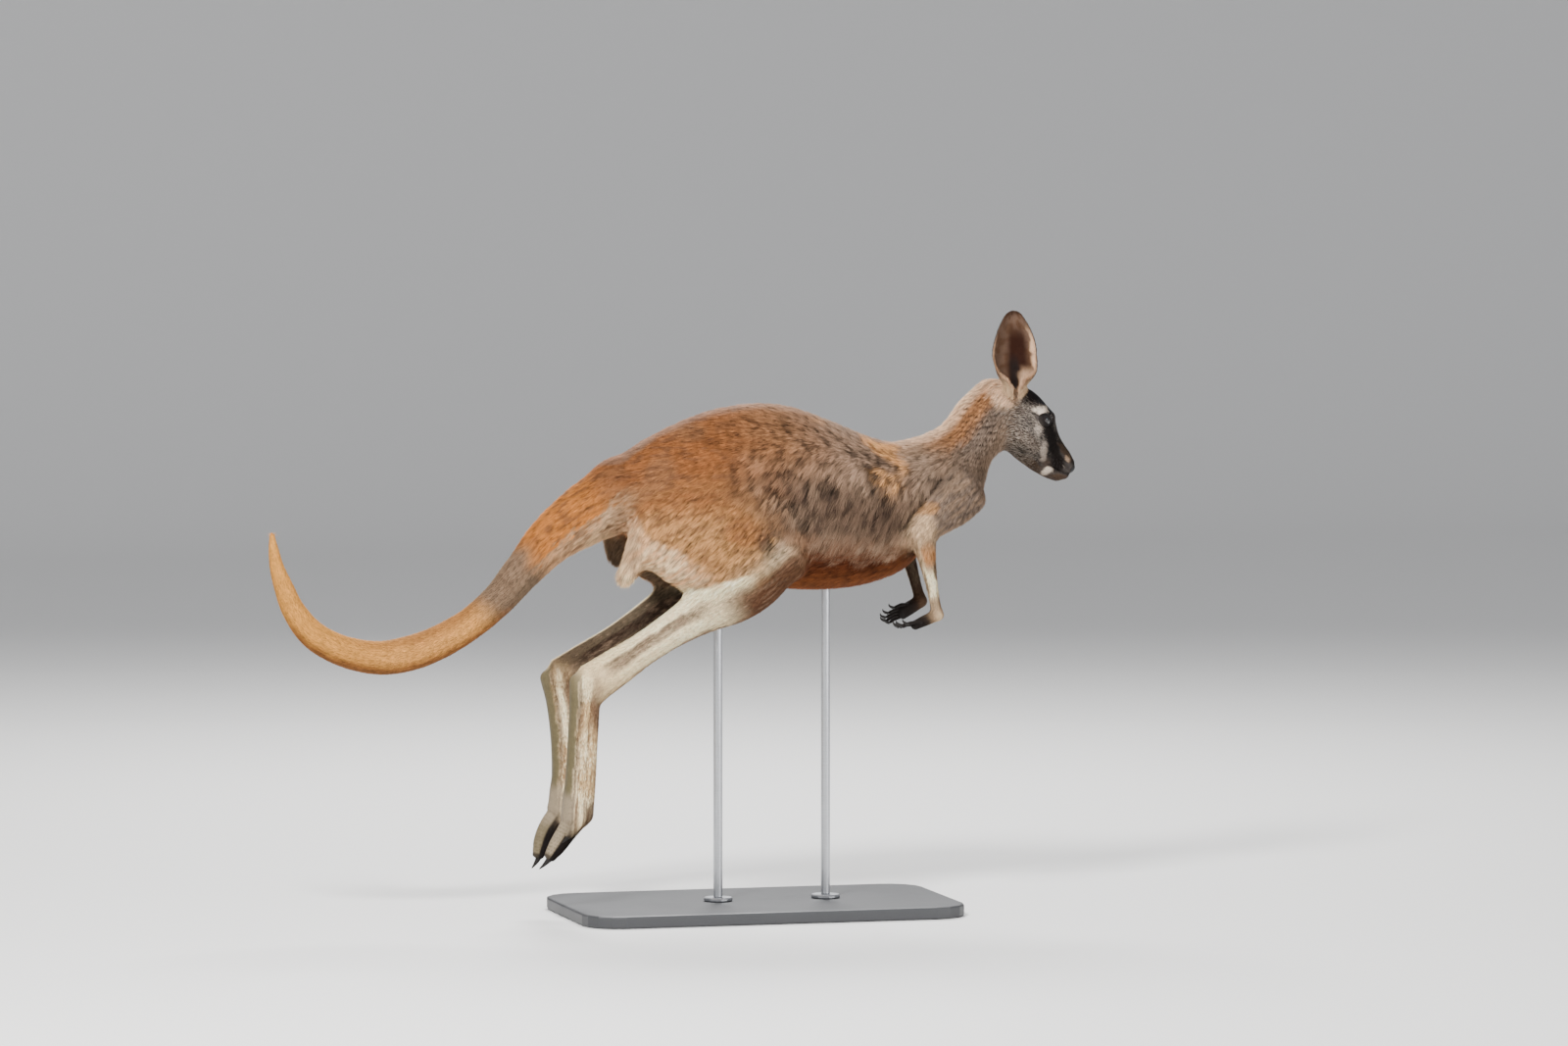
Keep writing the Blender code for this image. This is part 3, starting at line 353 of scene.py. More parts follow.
def smooth_rows(rows, steps):
    """Catmull-Rom curve through the rows, steps samples in each span."""
    rows = np.asarray(rows, float)
    padded = np.vstack([2 * rows[0] - rows[1], rows, 2 * rows[-1] - rows[-2]])
    t = np.arange(steps)[:, None] / steps
    weights = (
        (-t + 2 * t**2 - t**3) / 2,
        (2 - 5 * t**2 + 3 * t**3) / 2,
        (t + 4 * t**2 - 3 * t**3) / 2,
        (t**3 - t**2) / 2,
    )
    spans = [
        sum(w * padded[i + k] for k, w in enumerate(weights)) for i in range(len(rows) - 1)
    ]
    return np.vstack(spans + [rows[-1:]])


def line_distance(points, path):
    """Distance from points to a polyline, in as many dimensions as the path has."""
    path = np.asarray(path, float)
    best = np.full(len(points), np.inf)
    for a, b in zip(path[:-1], path[1:]):
        t = np.clip((points - a) @ (b - a) / ((b - a) @ (b - a)), 0, 1)
        best = np.minimum(best, np.linalg.norm(points - a - t[:, None] * (b - a), axis=1))
    return best


# --- Tubes and the blended field ------------------------------------------------------------
def tube(rows, across=(0, 1, 0), power=2.0, blend=0.012, caps=(1.0, 1.0), upright=False):
    """A tapered tube through rows of x, y, z, half width, above, below.

    The rings of an upright tube all stand across X, whichever way its middle line runs."""
    s = smooth_rows(rows, SPAN_STEPS)
    centre, size = s[:, :3], s[:, 3:]
    along = unit(np.gradient(centre, axis=0))
    if upright:
        along = np.broadcast_to((1.0, 0.0, 0.0), along.shape)
    up = unit(np.cross(along, np.broadcast_to(unit(across), along.shape)))
    step = (np.diff(centre, axis=0) * along[:-1]).sum(1)
    return SimpleNamespace(
        centre=centre,
        along=along,
        up=up,
        side=np.cross(up, along),
        size=np.maximum(size, 1e-4),
        ends=[cap * size[i].min() for cap, i in zip(caps, (0, -1))],
        step=np.append(step, step[-1]),
        arc=np.append(0.0, np.cumsum(step)),
        upright=upright,
        power=power,
        blend=blend,
    )


def limb(start, end, profile, bow=0.0, **options):
    """A tube from start to end; its profile rows are share of the way and three half sizes."""
    start, end = np.asarray(start, float), np.asarray(end, float)
    up = unit(np.cross(unit(end - start), (0, 1, 0)))
    rows = []
    for share, *sizes in profile:
        lift = bow * 4 * share * (1 - share)
        rows.append([*(start + (end - start) * share + up * lift), *sizes])
    return tube(rows, **options)


def boxed(t, points, room):
    """Which points lie in a box round a tube, with room to spare."""
    room = t.size.max() + room
    low, high = t.centre.min(0) - room, t.centre.max(0) + room
    return ((points > low) & (points < high)).all(1)


def beside(t, points):
    """Where points lie beside a tube: its nearest ring, and their offsets in that ring's frame."""
    c = t.centre
    if t.upright:
        i = np.abs(points[:, :1] - c[:, 0]).argmin(1)
    else:
        i = ((c**2).sum(1)[None] - 2 * points @ c.T).argmin(1)
    shift = ((points - c[i]) * t.along[i]).sum(1) / t.step[i]
    place = np.clip(i + np.clip(shift, -1, 1), 0, len(c) - 1)
    low = np.minimum(place.astype(int), len(c) - 2)
    part = place - low

    def at(values):
        """The tube's values blended between the two rings a point lies between."""
        share = part[:, None] if values.ndim > 1 else part
        return values[low] * (1 - share) + values[low + 1] * share

    q = SimpleNamespace(along=at(t.along), size=at(t.size), arc=at(t.arc))
    off = points - at(c)
    q.across = (off * at(t.side)).sum(1)
    q.rise = (off * at(t.up)).sum(1)
    past = (off * q.along).sum(1)
    q.past = np.where((place <= 0) | (place >= len(c) - 1), past, 0.0)
    q.end = np.where(place < 0.5 * len(c), *t.ends)
    q.share = q.arc / t.arc[-1]
    q.height = q.rise / np.where(q.rise > 0, q.size[:, 1], q.size[:, 2])
    return q


def cosine(q):
    """Cosine of the angle round a tube, counted from its top."""
    return q.rise / np.maximum(np.hypot(q.across, q.rise), 1e-5)


def tube_distance(t, q):
    """Signed distance to a tube, negative inside: r(1 - 1/k) for superellipse ratio k."""
    n = t.power
    ratio = np.abs(q.across / q.size[:, 0]) ** n + np.abs(q.height) ** n
    ratio = (ratio + np.abs(q.past / q.end) ** n) ** (1 / n)
    reach = np.sqrt(q.across**2 + q.rise**2 + q.past**2)
    return reach * (1 - 1 / np.maximum(ratio, 1e-6))


def body_distance(points):
    """Smooth union of the tubes; each joins what came before with its own blend radius."""
    total = np.full(len(points), 1.0)
    for t in TUBES.values():
        k = t.blend
        inside = boxed(t, points, 4 * k + 0.02)
        if inside.any():
            d = tube_distance(t, beside(t, points[inside]))
            before = total[inside]
            h = np.clip(0.5 + 0.5 * (before - d) / k, 0, 1)
            total[inside] = before * (1 - h) + d * h - k * h * (1 - h)
    return total


def across_hand(arm):
    """The direction across the palm, turned by the hand's roll."""
    return np.array((0.0, math.cos(arm["roll"]), math.sin(arm["roll"])))


def finger_ends(arm):
    """Root and tip of each finger of one hand, thumb side first."""
    knuckles, tips = np.array(arm["knuckles"]), np.array(arm["fingers"])
    reach, across = tips - knuckles, across_hand(arm)
    ends = []
    for spread, share in zip(FINGER_SPREAD, FINGER_REACH):
        root = knuckles + across * spread - 0.25 * reach
        ends.append((root, knuckles + across * spread * 1.35 + reach * share))
    return ends


def side_of(chain):
    """Which side a chain of joints is on, and the sign of y there."""
    y = next(iter(chain.values()))[1]
    return ("left", 1.0) if y > 0 else ("right", -1.0)


def body_tubes():
    """Named tubes of the body in the order they are blended, without the fingers."""
    trunk = [
        (x, 0, (top + low) / 2, half, (top - low) / 2, (top - low) / 2)
        for x, top, low, half in TRUNK
    ]
    tubes = {
        "trunk": tube(trunk, power=2.15, blend=0.02, caps=(0.8, 0.62), upright=True),
        "tail": tube([(x, 0, z, r, r, r) for x, z, r in TAIL], blend=0.045, caps=(0.8, 1.1)),
        "chest": tube(CHEST, blend=0.018, caps=(0.6, 0.95)),
        "neck": tube([(x, 0, z, *r) for x, z, *r in NECK], power=2.1, blend=0.030, caps=(0.7, 0.8)),
        "head": limb(*HEAD_AXIS, HEAD, power=2.15, blend=0.024, caps=(0.9, 0.62)),
    }
    for y in (-1, 1):
        for name, (profile, start, end, blend) in HEAD_FORMS.items():
            ends = np.array((start, end)) * (1, y, 1)
            tubes[f"x_{name}{y}"] = limb(*ends, profile, blend=blend)
    for leg in (NEAR_LEG, FAR_LEG):
        s, out = side_of(leg)
        for name, (start, end, profile, bow, options) in LEG_PARTS.items():
            tubes[f"{name}_{s}"] = limb(leg[start], leg[end], profile, bow * leg["bow"], **options)
        ball, toe = np.array(leg["ball"]), np.array(leg["toe"])
        for name, (profile, start, share, end, _) in SIDE_TOES.items():
            start = ball + (start[0], out * start[1], start[2])
            end = ball + share * (toe - ball) + (end[0], out * end[1], end[2])
            tubes[f"x_{name}_{s}"] = limb(start, end, profile, blend=0.003)
        hang = TUFT_HANG[s]
        start = np.array(leg["haunch"]) + (-0.014, -out * 0.014, -0.024)
        end = start + (hang[0], -out * 0.004, hang[1])
        tubes[f"tuft_{s}"] = limb(start, end, TUFT, blend=0.022)
    for arm in (NEAR_ARM, FAR_ARM):
        s, _ = side_of(arm)
        for name, (start, end, profile, options) in ARM_PARTS.items():
            tubes[f"{name}_{s}"] = limb(arm[start], arm[end], profile, **options)
        tubes[f"palm_{s}"] = limb(
            arm["wrist"], arm["knuckles"], PALM, across=across_hand(arm), power=2.4, blend=0.006
        )
    return tubes


TUBES = body_tubes()


# --- Markings, lie and length of the coat ---------------------------------------------------
# Each region's function takes a view of points beside its tube and gives the colour, the drift
# added to the lie along the tube, the length and the lift of a tuft, and how strongly it clumps.
def region(colour, drift, length, lift, clump, speckle=0.0, gap=0.0, streak=None):
    """One region's answer, with single numbers allowed for what is even all over it."""
    return {
        "colour": colour,
        "drift": np.asarray(drift, float),
        "length": length,
        "lift": lift,
        "clump": clump,
        "speckle": speckle,
        "gap": gap,
        "streak": streak,
    }


def locks(u, v, w, long, wide, seed):
    """Overlapping locks of hair: nought at a lock's root and edges, one at its raised tip.

    Columns as wide as a lock run along u, each shifted by a random share of a lock's length."""
    bend = noise(columns(u / (2.2 * long), v / (4 * wide), w / (4 * wide)), seed)
    column = v / wide + 1.8 * bend
    j, k = np.floor(column).astype(np.int64), np.floor(w / (5 * wide)).astype(np.int64)
    phase = u / long + cell_value(j, k, 0 * j, seed) + 0.7 * bend
    saw = phase - np.floor(phase)
    fine = noise(columns(u / long, 2 * v / wide, 2 * w / wide), seed + 7)
    return 0.75 * saw * (1 - 0.75 * zigzag(column) ** 2) + 0.45 * ramp(fine, 0.25, 0.75)


def flecks(u, v, w, long, wide, seed, rare=(0.58, 0.72)):
    """Small dashes, each long and wide in metres, where a noise stretched along u runs high."""
    return ramp(noise(columns(u, v, w) / (long, wide, long), seed), *rare)


def trunk_coat(q):
    """Rufous rump, fawn to grey back, streaked flanks with a pale fringe, warm belly darkened as painted
    shade, darker still underneath.
    """
    x, z, h = q.x + 0.035 * (q.patch - 0.5), q.z + 0.02 * (q.fine - 0.5), q.height
    spot = spots(x, z)
    rear = painted(RUFOUS, (GOLD, 0.8 * ramp(h, 0.45, -0.3)), (FAWN, 0.5 * ramp(q.blot, 0.5, 0.8)))
    middle = painted(
        FAWN,
        (BACK_GREY, ramp(x, 0.02, 0.16)),
        (PATCH_ORANGE, 0.45 * ramp(q.blot, 0.55, 0.85)),
        (mixed(FLANK_GREY, LOCK_TAN, 0.55 * q.patch), ramp(h, 0.62, 0.15)),
    )
    orange = spots(x + 0.02 * (q.fine - 0.5), z)(0.218, 0.742, 0.030, 0.038, 0.4)
    shade = ramp(np.abs(h + 0.02), 0.42, 0.16) * ramp(x, 0.02, 0.09) * ramp(x, 0.30, 0.24)
    # Painted shade in the crease behind the shoulder, along the fold cut into the skin
    crease = ramp(line_distance(columns(q.x, q.z), SHOULDER_LINE), 0.0065, 0.0025)
    crease = crease * ramp(np.abs(q.y), 0.02, 0.04)
    fringe = ramp(h, -0.12, -0.36) * ramp(x, -0.02, 0.05)
    under = ramp(h + 0.30 * (q.fine - 0.5), -0.42, -0.62)
    slant = columns(x * 0.64 - z * 0.77, x * 0.77 + z * 0.64, q.y)
    fleck = flecks(*slant.T, 0.016, 0.0046, 302) * ramp(np.abs(h - 0.30), 0.70, 0.45)
    dash = flecks(q.x, q.z, q.y, 0.014, 0.0042, 303) * ramp(x, 0.0, -0.10)
    colour = painted(
        rear,
        (middle, ramp(x, -0.105, 0.055)),
        (SHOULDER_GREY, 0.7 * ramp(x, 0.235, 0.285)),
        (PATCH_ORANGE, 0.85 * orange * ramp(q.blot + q.patch, 0.5, 0.9)),
        (FLANK_GREY, 0.80 * shade * ramp(q.patch + 0.5 * q.fine, 0.45, 0.85)),
        (DARK, 0.55 * spot(0.196, 0.700, 0.012, 0.036, 0.3)),
        (RUFOUS, 0.45 * spot(-0.045, 0.637, 0.030, 0.022)),
        (FLANK_GREY, 0.75 * spot(-0.004, 0.618, 0.020, 0.026)),
        # painted shade in the shoulder crease
        (DARK, 0.85 * crease),
        (DARK, 0.35 * spot(-0.092, 0.783, 0.022, 0.008, -0.3)),
        (DARK, 0.35 * spot(-0.058, 0.725, 0.010, 0.030)),
        (LOCK_TAN, 0.35 * fringe),
        (KNEE_BROWN, 0.70 * fringe * ramp(q.fine + q.patch, 1.3, 0.7)),
        # painted shade over the belly, deepest on its underside
        (mixed(BELLY_IN_SHADE, BELLY_UNDERSIDE_SHADOW, 0.85 * ramp(h, -0.90, -0.62) * ramp(x, 0.30, 0.20)), under),
        (RIM_GREY, 0.65 * ramp(h, 0.90, 0.99)),
        (DARK, 0.62 * fleck * ramp(x, -0.12, 0.0)),
        (KNEE_BROWN, 0.60 * dash),
    )
    sag = 0.10 + 1.5 * ramp(h, 0.85, 0.0) * ramp(x, -0.10, 0.10) + 0.5 * ramp(h, 0.8, 0.2)
    drift = -(sag * (1 - under))[:, None] * UP
    length = 0.0125 + 0.011 * ramp(h, 0.75, 0.0) * ramp(x, -0.12, 0.06) * (1 - 0.9 * under)
    clump = 0.50 + 0.75 * ramp(x, -0.10, 0.05) * (1 - 0.7 * under)
    split = np.abs(noise(slant / (0.030, 0.013, 0.030), 301) - 0.5)
    zone = ramp(x, -0.10, 0.04) * ramp(np.abs(h - 0.30), 0.65, 0.45) * ramp(q.blot, 0.25, 0.50)
    u, v = -0.55 * q.x - 0.83 * q.z, 0.83 * q.x - 0.55 * q.z
    turned = ramp(h, 0.85, 0.45) * ramp(x, -0.12, 0.0) * (1 - under)
    streak = q.streak * (1 - turned) + locks(u, v, q.y, 0.032, 0.0080, 401) * turned
    gap = np.maximum(zone * ramp(split, 0.08, 0.02), crease)
    return region(colour, drift, length, 0.0026 + 0.0022 * fringe, clump, gap=gap, streak=streak)


def tail_coat(q):
    """Rufous root, a grey band, then golden tan; pale under the root, painted shade along the underside of
    the golden part.
    """
    s, nz = q.share + 0.03 * (q.patch - 0.5), q.nz + 0.3 * (q.fine - 0.5)
    pale = nz - 0.35 * ramp(s, 0.14, 0.05) + 0.35 * (q.streak - 0.5)
    pale = ramp(pale, -0.02, -0.32) * ramp(s, 0.02, 0.06) * (0.6 + 0.4 * ramp(s, 0.26, 0.12))
    dash = flecks(q.arc, q.rise, q.across, 0.014, 0.0042, 304)
    gold = mixed(TAIL_GOLD, TAIL_PALE, ramp(s, 0.50, 0.80))
    gold = mixed(gold, RUFOUS, 0.6 * ramp(nz, 0.1, 0.85) * ramp(s, 0.80, 0.5))
    colour = painted(
        RUFOUS,
        (TAIL_ORANGE, ramp(s, 0.06, 0.16)),
        (WARM_WHITE, 0.95 * pale),
        (PATCH_ORANGE, 0.60 * ramp(q.nz, -0.86, -0.97) * ramp(s, 0.09, 0.15)),
        (KNEE_BROWN, 0.65 * dash * ramp(s, 0.30, 0.22)),
        (TAIL_GREY, 0.92 * ramp(s, 0.25, 0.31)),
        (gold, ramp(s, 0.38, 0.46)),
        (RUFOUS, 0.8 * ramp(nz, -0.30, -0.75) * ramp(s, 0.35, 0.42)),
        # painted shade along the downward-facing underside
        (KNEE_BROWN, 0.45 * ramp(nz, -0.60, -0.90) * ramp(s, 0.35, 0.42)),
    )
    thin = ramp(s, 0.15, 0.45)
    drift = np.array((0, 0, -0.25)) * ramp(s, 0.3, 0.1)[:, None]
    clump = 0.6 - 0.25 * ramp(s, 0.2, 0.5)
    return region(colour, drift, 0.0130 - 0.0055 * thin, 0.0022 - 0.0011 * thin, clump)


def neck_coat(q):
    """Cream nape rim, orange below it, grey sides crossed by wavy dark ripples, partly painted shade in
    their dips.
    """
    c, s = q.cos + 0.25 * (q.patch - 0.5) + 0.20 * (q.fine - 0.5), q.share
    base = np.hypot(q.x - 0.420, q.z - 0.852)
    bend = 0.60 * q.rise / 0.0085 + 2.4 * q.blot + 1.4 * q.patch + 0.6 * q.fine
    wave = np.sin(2 * np.pi * (q.arc / 0.0085 + bend))
    band = ramp(np.abs(c - 0.10), 0.95, 0.60) * ramp(s, 0.06, 0.22) * ramp(base, 0.028, 0.045)
    colour = painted(
        NECK_GREY,
        (NAPE_ORANGE, 0.90 * ramp(c, 0.25, 0.70) * ramp(s, 0.05, 0.35)),
        (NAPE_CREAM, 0.95 * ramp(q.cos, 0.82, 0.96)),
        (SHOULDER_GREY, 0.8 * ramp(c, 0.0, -0.6)),
        (NAPE_CREAM, 0.9 * ramp(base + 0.010 * (q.fine - 0.5), 0.036, 0.020)),
        # partly painted shade: dark in the dips of the ripples, where the tufts are lowered
        (FLANK_GREY, 0.80 * band * ramp(wave, 0.0, 0.60) * ramp(q.fine, 0.1, 0.4)),
    )
    gap = 0.95 * band * ramp(wave, 0.10, 0.70) * ramp(q.fine, 0.15, 0.45)
    return region(colour, (-0.15, 0, -0.35), 0.0085, 0.0026 + 0.0012 * band * wave, 0.6, gap=gap)


def head_coat(q):
    """Dark forehead deepened by painted shade, grizzled cheeks, black band before the eye, pale spots, black
    muzzle.
    """
    wander = 0.0050 * (q.fine - 0.5)
    x, z = q.x + wander, q.z + 0.0060 * (q.patch - 0.5) + wander
    c, s, spot = q.cos, q.share, spots(x, z)
    band = np.maximum(
        spot(0.4985, 0.7640, 0.0115, 0.042, 0.30), spot(0.5105, 0.7275, 0.0110, 0.0135, 0.2)
    )
    band = np.maximum(band, 0.75 * ramp(c, 0.10, 0.50) * ramp(s, 0.58, 0.66))
    lip = spot(0.5285, 0.7345, 0.0045, 0.0060, 0.5)
    corner = spot(0.4950, 0.7170, 0.0075, 0.0060, 0.5)
    brow = spot(0.4780, 0.8165, 0.0135, 0.0048, 0.10)
    place = columns(q.x, q.y, q.z)
    eye = ramp(eye_distance(place), EYE_RADIUS + 0.0050, EYE_RADIUS + 0.0030)
    eye = np.maximum(eye, spot(0.4830, 0.8010, 0.0150, 0.0060, -0.5))
    nose = ramp(np.linalg.norm(place - np.array(NOSE_PLACE), axis=1), 0.0165, 0.0125)
    base = np.hypot(q.x - 0.424, q.z - 0.848)
    colour = painted(
        HEAD_GREY,
        (HEAD_BROWN, 0.5 * ramp(q.patch, 0.45, 0.8)),
        # partly painted shade: the top of the head near black
        (HEAD_BLUE, ramp(c, 0.42, 0.66) * ramp(s, 0.56, 0.44)),
        (HEAD_BROWN, 0.5 * ramp(c, 0.60, 0.85) * ramp(s, 0.60, 0.70)),
        (DARK, 0.80 * spot(0.452, 0.744, 0.034, 0.014, -0.66)),
        (DARK, 0.75 * spot(0.434, 0.762, 0.007, 0.022, 0.1)),
        (HEAD_BROWN, 0.6 * spot(0.466, 0.730, 0.022, 0.006, -0.6)),
        (WHITE, 0.68 * spot(0.4725, 0.7870, 0.0060, 0.0130, 0.05)),
        (WHITE, 0.58 * spot(0.4835, 0.7480, 0.0065, 0.0140, 0.25)),
        (DARK, 0.97 * band),
        (HEAD_BROWN, 0.55 * spot(0.5240, 0.7460, 0.0050, 0.0200, 0.72)),
        (LOCK_TAN, 0.9 * lip),
        (WHITE, 0.95 * corner),
        (HEAD_BROWN, 0.7 * spot(0.5150, 0.7050, 0.0140, 0.0050, -0.2)),
        (WHITE, 0.95 * brow),
        (DARK, 0.97 * eye * (1 - brow)),
        (DARK, 0.97 * nose),
        (NAPE_CREAM, 0.9 * ramp(base, 0.030, 0.018) * ramp(c, 0.97, 0.8)),
    )
    length = 0.0064 - 0.0030 * ramp(s, 0.35, 0.85) + 0.0060 * ramp(base, 0.026, 0.012)
    speckle = ramp(c, 0.85, 0.45) * ramp(s, 0.80, 0.55)
    for part in (band, eye, brow, corner, lip):
        speckle = speckle * (1 - part)
    return region(colour, (-0.2, 0, -0.25), length, 0.0010, 0.45, speckle)


def thigh_coat(q):
    """Golden thigh, rufous above, grey-brown before the knee partly as painted shade, whitish along its
    lower rear, painted shade on its inner side.
    """
    x, z = q.x + 0.02 * (q.patch - 0.5), q.z + 0.02 * (q.fine - 0.5)
    spot = spots(x, z)
    dusk = spot(-0.042, 0.637, 0.036, 0.024)
    smoke = spot(0.002, 0.618, 0.028, 0.032)
    pale = np.maximum(
        spot(-0.178, 0.582, 0.085, 0.030, -0.42), spot(-0.228, 0.616, 0.026, 0.056, 0.2)
    )
    streaked = flecks(q.x + q.z, q.x - q.z, q.y, 0.030, 0.0060, 306, rare=(0.50, 0.70))
    dash = flecks(q.x, q.z, q.y, 0.014, 0.0042, 305)
    colour = painted(
        GOLD,
        (RUFOUS, ramp(z, 0.635, 0.705)),
        (RUFOUS, 0.5 * ramp(q.blot, 0.5, 0.85)),
        (RUFOUS, 0.60 * dusk),
        (FLANK_GREY, 0.85 * smoke * ramp(q.fine, 0.15, 0.5)),
        # partly painted shade: grey over the knee
        (BACK_GREY, 0.70 * spot(0.035, 0.600, 0.030, 0.040)),
        (WARM_WHITE, 0.96 * pale),
        (TAIL_ORANGE, 0.42 * pale * streaked),
        (KNEE_BROWN, 0.60 * dash * (1 - pale) * ramp(z, 0.55, 0.60)),
        (CREAM, 0.85 * ramp(z - 0.30 * (x + 0.122), 0.548, 0.534) * ramp(x, -0.01, -0.04)),
        # partly painted shade: brown at the front of the knee
        (KNEE_BROWN, 0.8 * ramp(x, -0.03, 0.01) * ramp(z, 0.60, 0.565)),
        # painted shade on the inner side
        (INNER_SIDE_SHADE, 0.85 * ramp(q.out, 0.1, -0.4)),
    )
    streak = locks(-0.70 * (q.x + q.z), 0.70 * (q.x - q.z), q.y, 0.020, 0.0060, 402)
    gap = 0.8 * np.maximum(dusk, smoke) * ramp(streak, 0.45, 0.15)
    lift = 0.0022 + 0.0016 * ramp(z, 0.58, 0.55)
    return region(colour, (-2.2, 0, -1.1), 0.0125, lift, 0.9, gap=gap, streak=streak)


def tuft_coat(q):
    """The loose pale fur that hangs behind the thigh, the left one near black as painted shadow."""
    colour = mixed(WARM_WHITE, TAIL_GREY, 0.75 * ramp(q.fine, 0.4, 0.8))
    # painted shadow: the tuft on the left, the far side, turns near black
    colour = mixed(colour, DARK, 0.85 * ramp(q.y, -0.02, 0.02))
    last = ramp(q.share, 0.70, 0.95)
    return region(colour, (-0.1, 0, -1.2), 0.026 - 0.018 * last, 0.0065 - 0.0030 * last, 1.0)


def shin_coat(q):
    """Cream bands over tendon and shin bone; grey-brown between and brown under the knee, both partly
    painted shade; painted shade inside.
    """
    s, h = q.share, q.height + (0.16 * (q.patch - 0.5) + 0.14 * (q.fine - 0.5))
    groove = ramp(np.abs(h + 0.10), 0.42, 0.22) * ramp(s, 0.30, 0.50) * ramp(s, 0.97, 0.84)
    colour = painted(
        CREAM,
        # partly painted shade: brown at the front of the knee and along the shin's underside
        (KNEE_BROWN, ramp(h, -0.25, 0.25) * ramp(s, 0.44, 0.22)),
        (KNEE_BROWN, 0.85 * ramp(h, 0.72, 0.92)),
        (FOOT_CREAM, 0.5 * ramp(s, 0.60, 0.95)),
        # partly painted shade in the groove between tendon and shin bone, which the skin's fold also cuts
        (SHIN_GREY, 0.90 * groove * (0.6 + 0.4 * ramp(q.fine, 0.3, 0.6))),
        (LOCK_TAN, 0.5 * groove * ramp(q.streak, 0.45, 0.75)),
        # painted shade on the inner side
        (INNER_SIDE_SHADE, 0.92 * ramp(q.out, 0.05, -0.40) * ramp(h, 0.92, 0.5)),
        (LOCK_TAN, 0.35 * ramp(q.fine, 0.55, 0.9)),
    )
    return region(colour, 0, 0.0078 - 0.002 * s, 0.0010, 0.55)


def foot_coat(q):
    """Cream bands with dark grooves between them painted as shade, brown instep tuft, olive sole, grey pad.
    """
    wander = 0.20 * (q.fine - 0.5) + 0.12 * (q.patch - 0.5)
    c, h, s = q.cos + 0.16 * (q.fine - 0.5), q.height + wander, q.share
    grooves = []
    # painted shade in each groove
    for level, wide, strong in FOOT_GROOVES:
        line = ramp(np.abs(h - level), wide, 0.02) * ramp(s, 0.02, 0.10)
        grooves.append((KNEE_BROWN, strong * line * (0.5 + 0.5 * ramp(q.fine, 0.3, 0.6))))
    colour = painted(
        FOOT_CREAM,
        (CREAM, 0.85 * ramp(q.patch + 0.4 * (q.streak - 0.5), 0.30, 0.6)),
        (LOCK_TAN, 0.5 * ramp(h, 0.55, 0.95)),
        *grooves,
        # painted shade at the roots and edges of the locks
        (KNEE_BROWN, 0.50 * ramp(q.streak, 0.50, 0.10)),
        # painted shade in the groove along the edge of the sole
        (SHIN_GREY, 0.80 * ramp(np.abs(c + 0.60), 0.14, 0.03)),
        (SOLE, ramp(c, -0.64, -0.76)),
        (KNEE_BROWN, 0.90 * spots(s + 0.6 * wander, h)(0.15, 0.70, 0.17, 0.55)),
        (SHIN_GREY, 0.90 * ramp(s + 0.5 * wander, 0.80, 0.98) * ramp(h, 0.05, 0.45)),
        (PAD, 0.85 * (ramp(s + 0.10 * wander, 0.80, 0.90) * ramp(c, -0.30, -0.55))),
    )
    return region(colour, 0, 0.0050, 0.0008, 0.7)


def toe_coat(q):
    """Dark fur over the toes, deepened as painted shade, grey pads below crossed by dark wrinkles painted as
    shade.
    """
    c, s = q.cos + 0.12 * (q.fine - 0.5), q.share
    wave = zigzag(q.arc / 0.0056 + 0.7 * q.patch)
    colour = painted(
        PAD,
        # painted shade in the wrinkles of the pads
        (SOLE, 0.8 * ramp(wave, 0.72, 0.95) * ramp(s, 0.15, 0.3)),
        (SOLE, 0.7 * ramp(q.blot, 0.45, 0.75)),
        # partly painted shade: the dark fur on the toes' front turned black
        (DARK, ramp(c, -0.30, 0.05)),
        (KNEE_BROWN, 0.6 * ramp(s, 0.35, 0.0) * ramp(c, -0.2, 0.4)),
        (DARK, 0.8 * ramp(s, 0.95, 1.0)),
    )
    return region(colour, 0, 0.0055, 0.0007, 0.4)


def upper_coat(q):
    """Grey shoulder turning whitish tan at the elbow."""
    s = q.share + 0.12 * (q.patch - 0.5)
    x, z = q.x + 0.012 * (q.fine - 0.5), q.z + 0.012 * (q.patch - 0.5)
    colour = painted(
        SHOULDER_GREY,
        (NECK_GREY, ramp(q.fine, 0.25, 0.65)),
        (WARM_WHITE, 0.95 * ramp(s, 0.50, 0.78) * ramp(x, 0.292, 0.272)),
        (PATCH_ORANGE, 0.70 * spots(x, z)(0.274, 0.668, 0.020, 0.011)),
    )
    wave = np.sin(2 * np.pi * (q.arc / 0.0105 + 1.8 * q.blot + 1.2 * q.patch))
    gap = 0.8 * ramp(s, 0.7, 0.5) * ramp(wave, 0.3, 0.9) * ramp(q.fine, 0.2, 0.5)
    return region(colour, (-0.1, 0, -0.3), 0.0100, 0.0024, 0.7, gap=gap)


def fore_coat(q):
    """Whitish tan forearm with brown streaks, near black on the inner side as painted shade, darker near the
    wrist.
    """
    s, h = q.share, q.height + 0.3 * (q.fine - 0.5)
    edge = ramp(np.abs(h), 0.30, 0.75)
    colour = painted(
        CREAM,
        (ARM_TAN, np.maximum(0.7 * edge, ramp(q.patch, 0.5, 0.8))),
        (ARM_BROWN, 0.80 * ramp(q.fine + 0.45 * edge, 0.60, 0.95)),
        (TAIL_ORANGE, 0.65 * spots(s, h)(0.20, 0.1, 0.15, 0.7)),
        # painted shade on the inner side
        (INNER_SIDE_SHADE, 0.95 * ramp(q.out, 0.10, -0.35)),
        (ARM_BROWN, 0.5 * ramp(s, 0.88, 1.0) * ramp(h, 0.3, -0.3)),
    )
    return region(colour, (-0.25, 0, 0), 0.0085 - 0.0035 * s, 0.0016 - 0.0008 * s, 0.7)


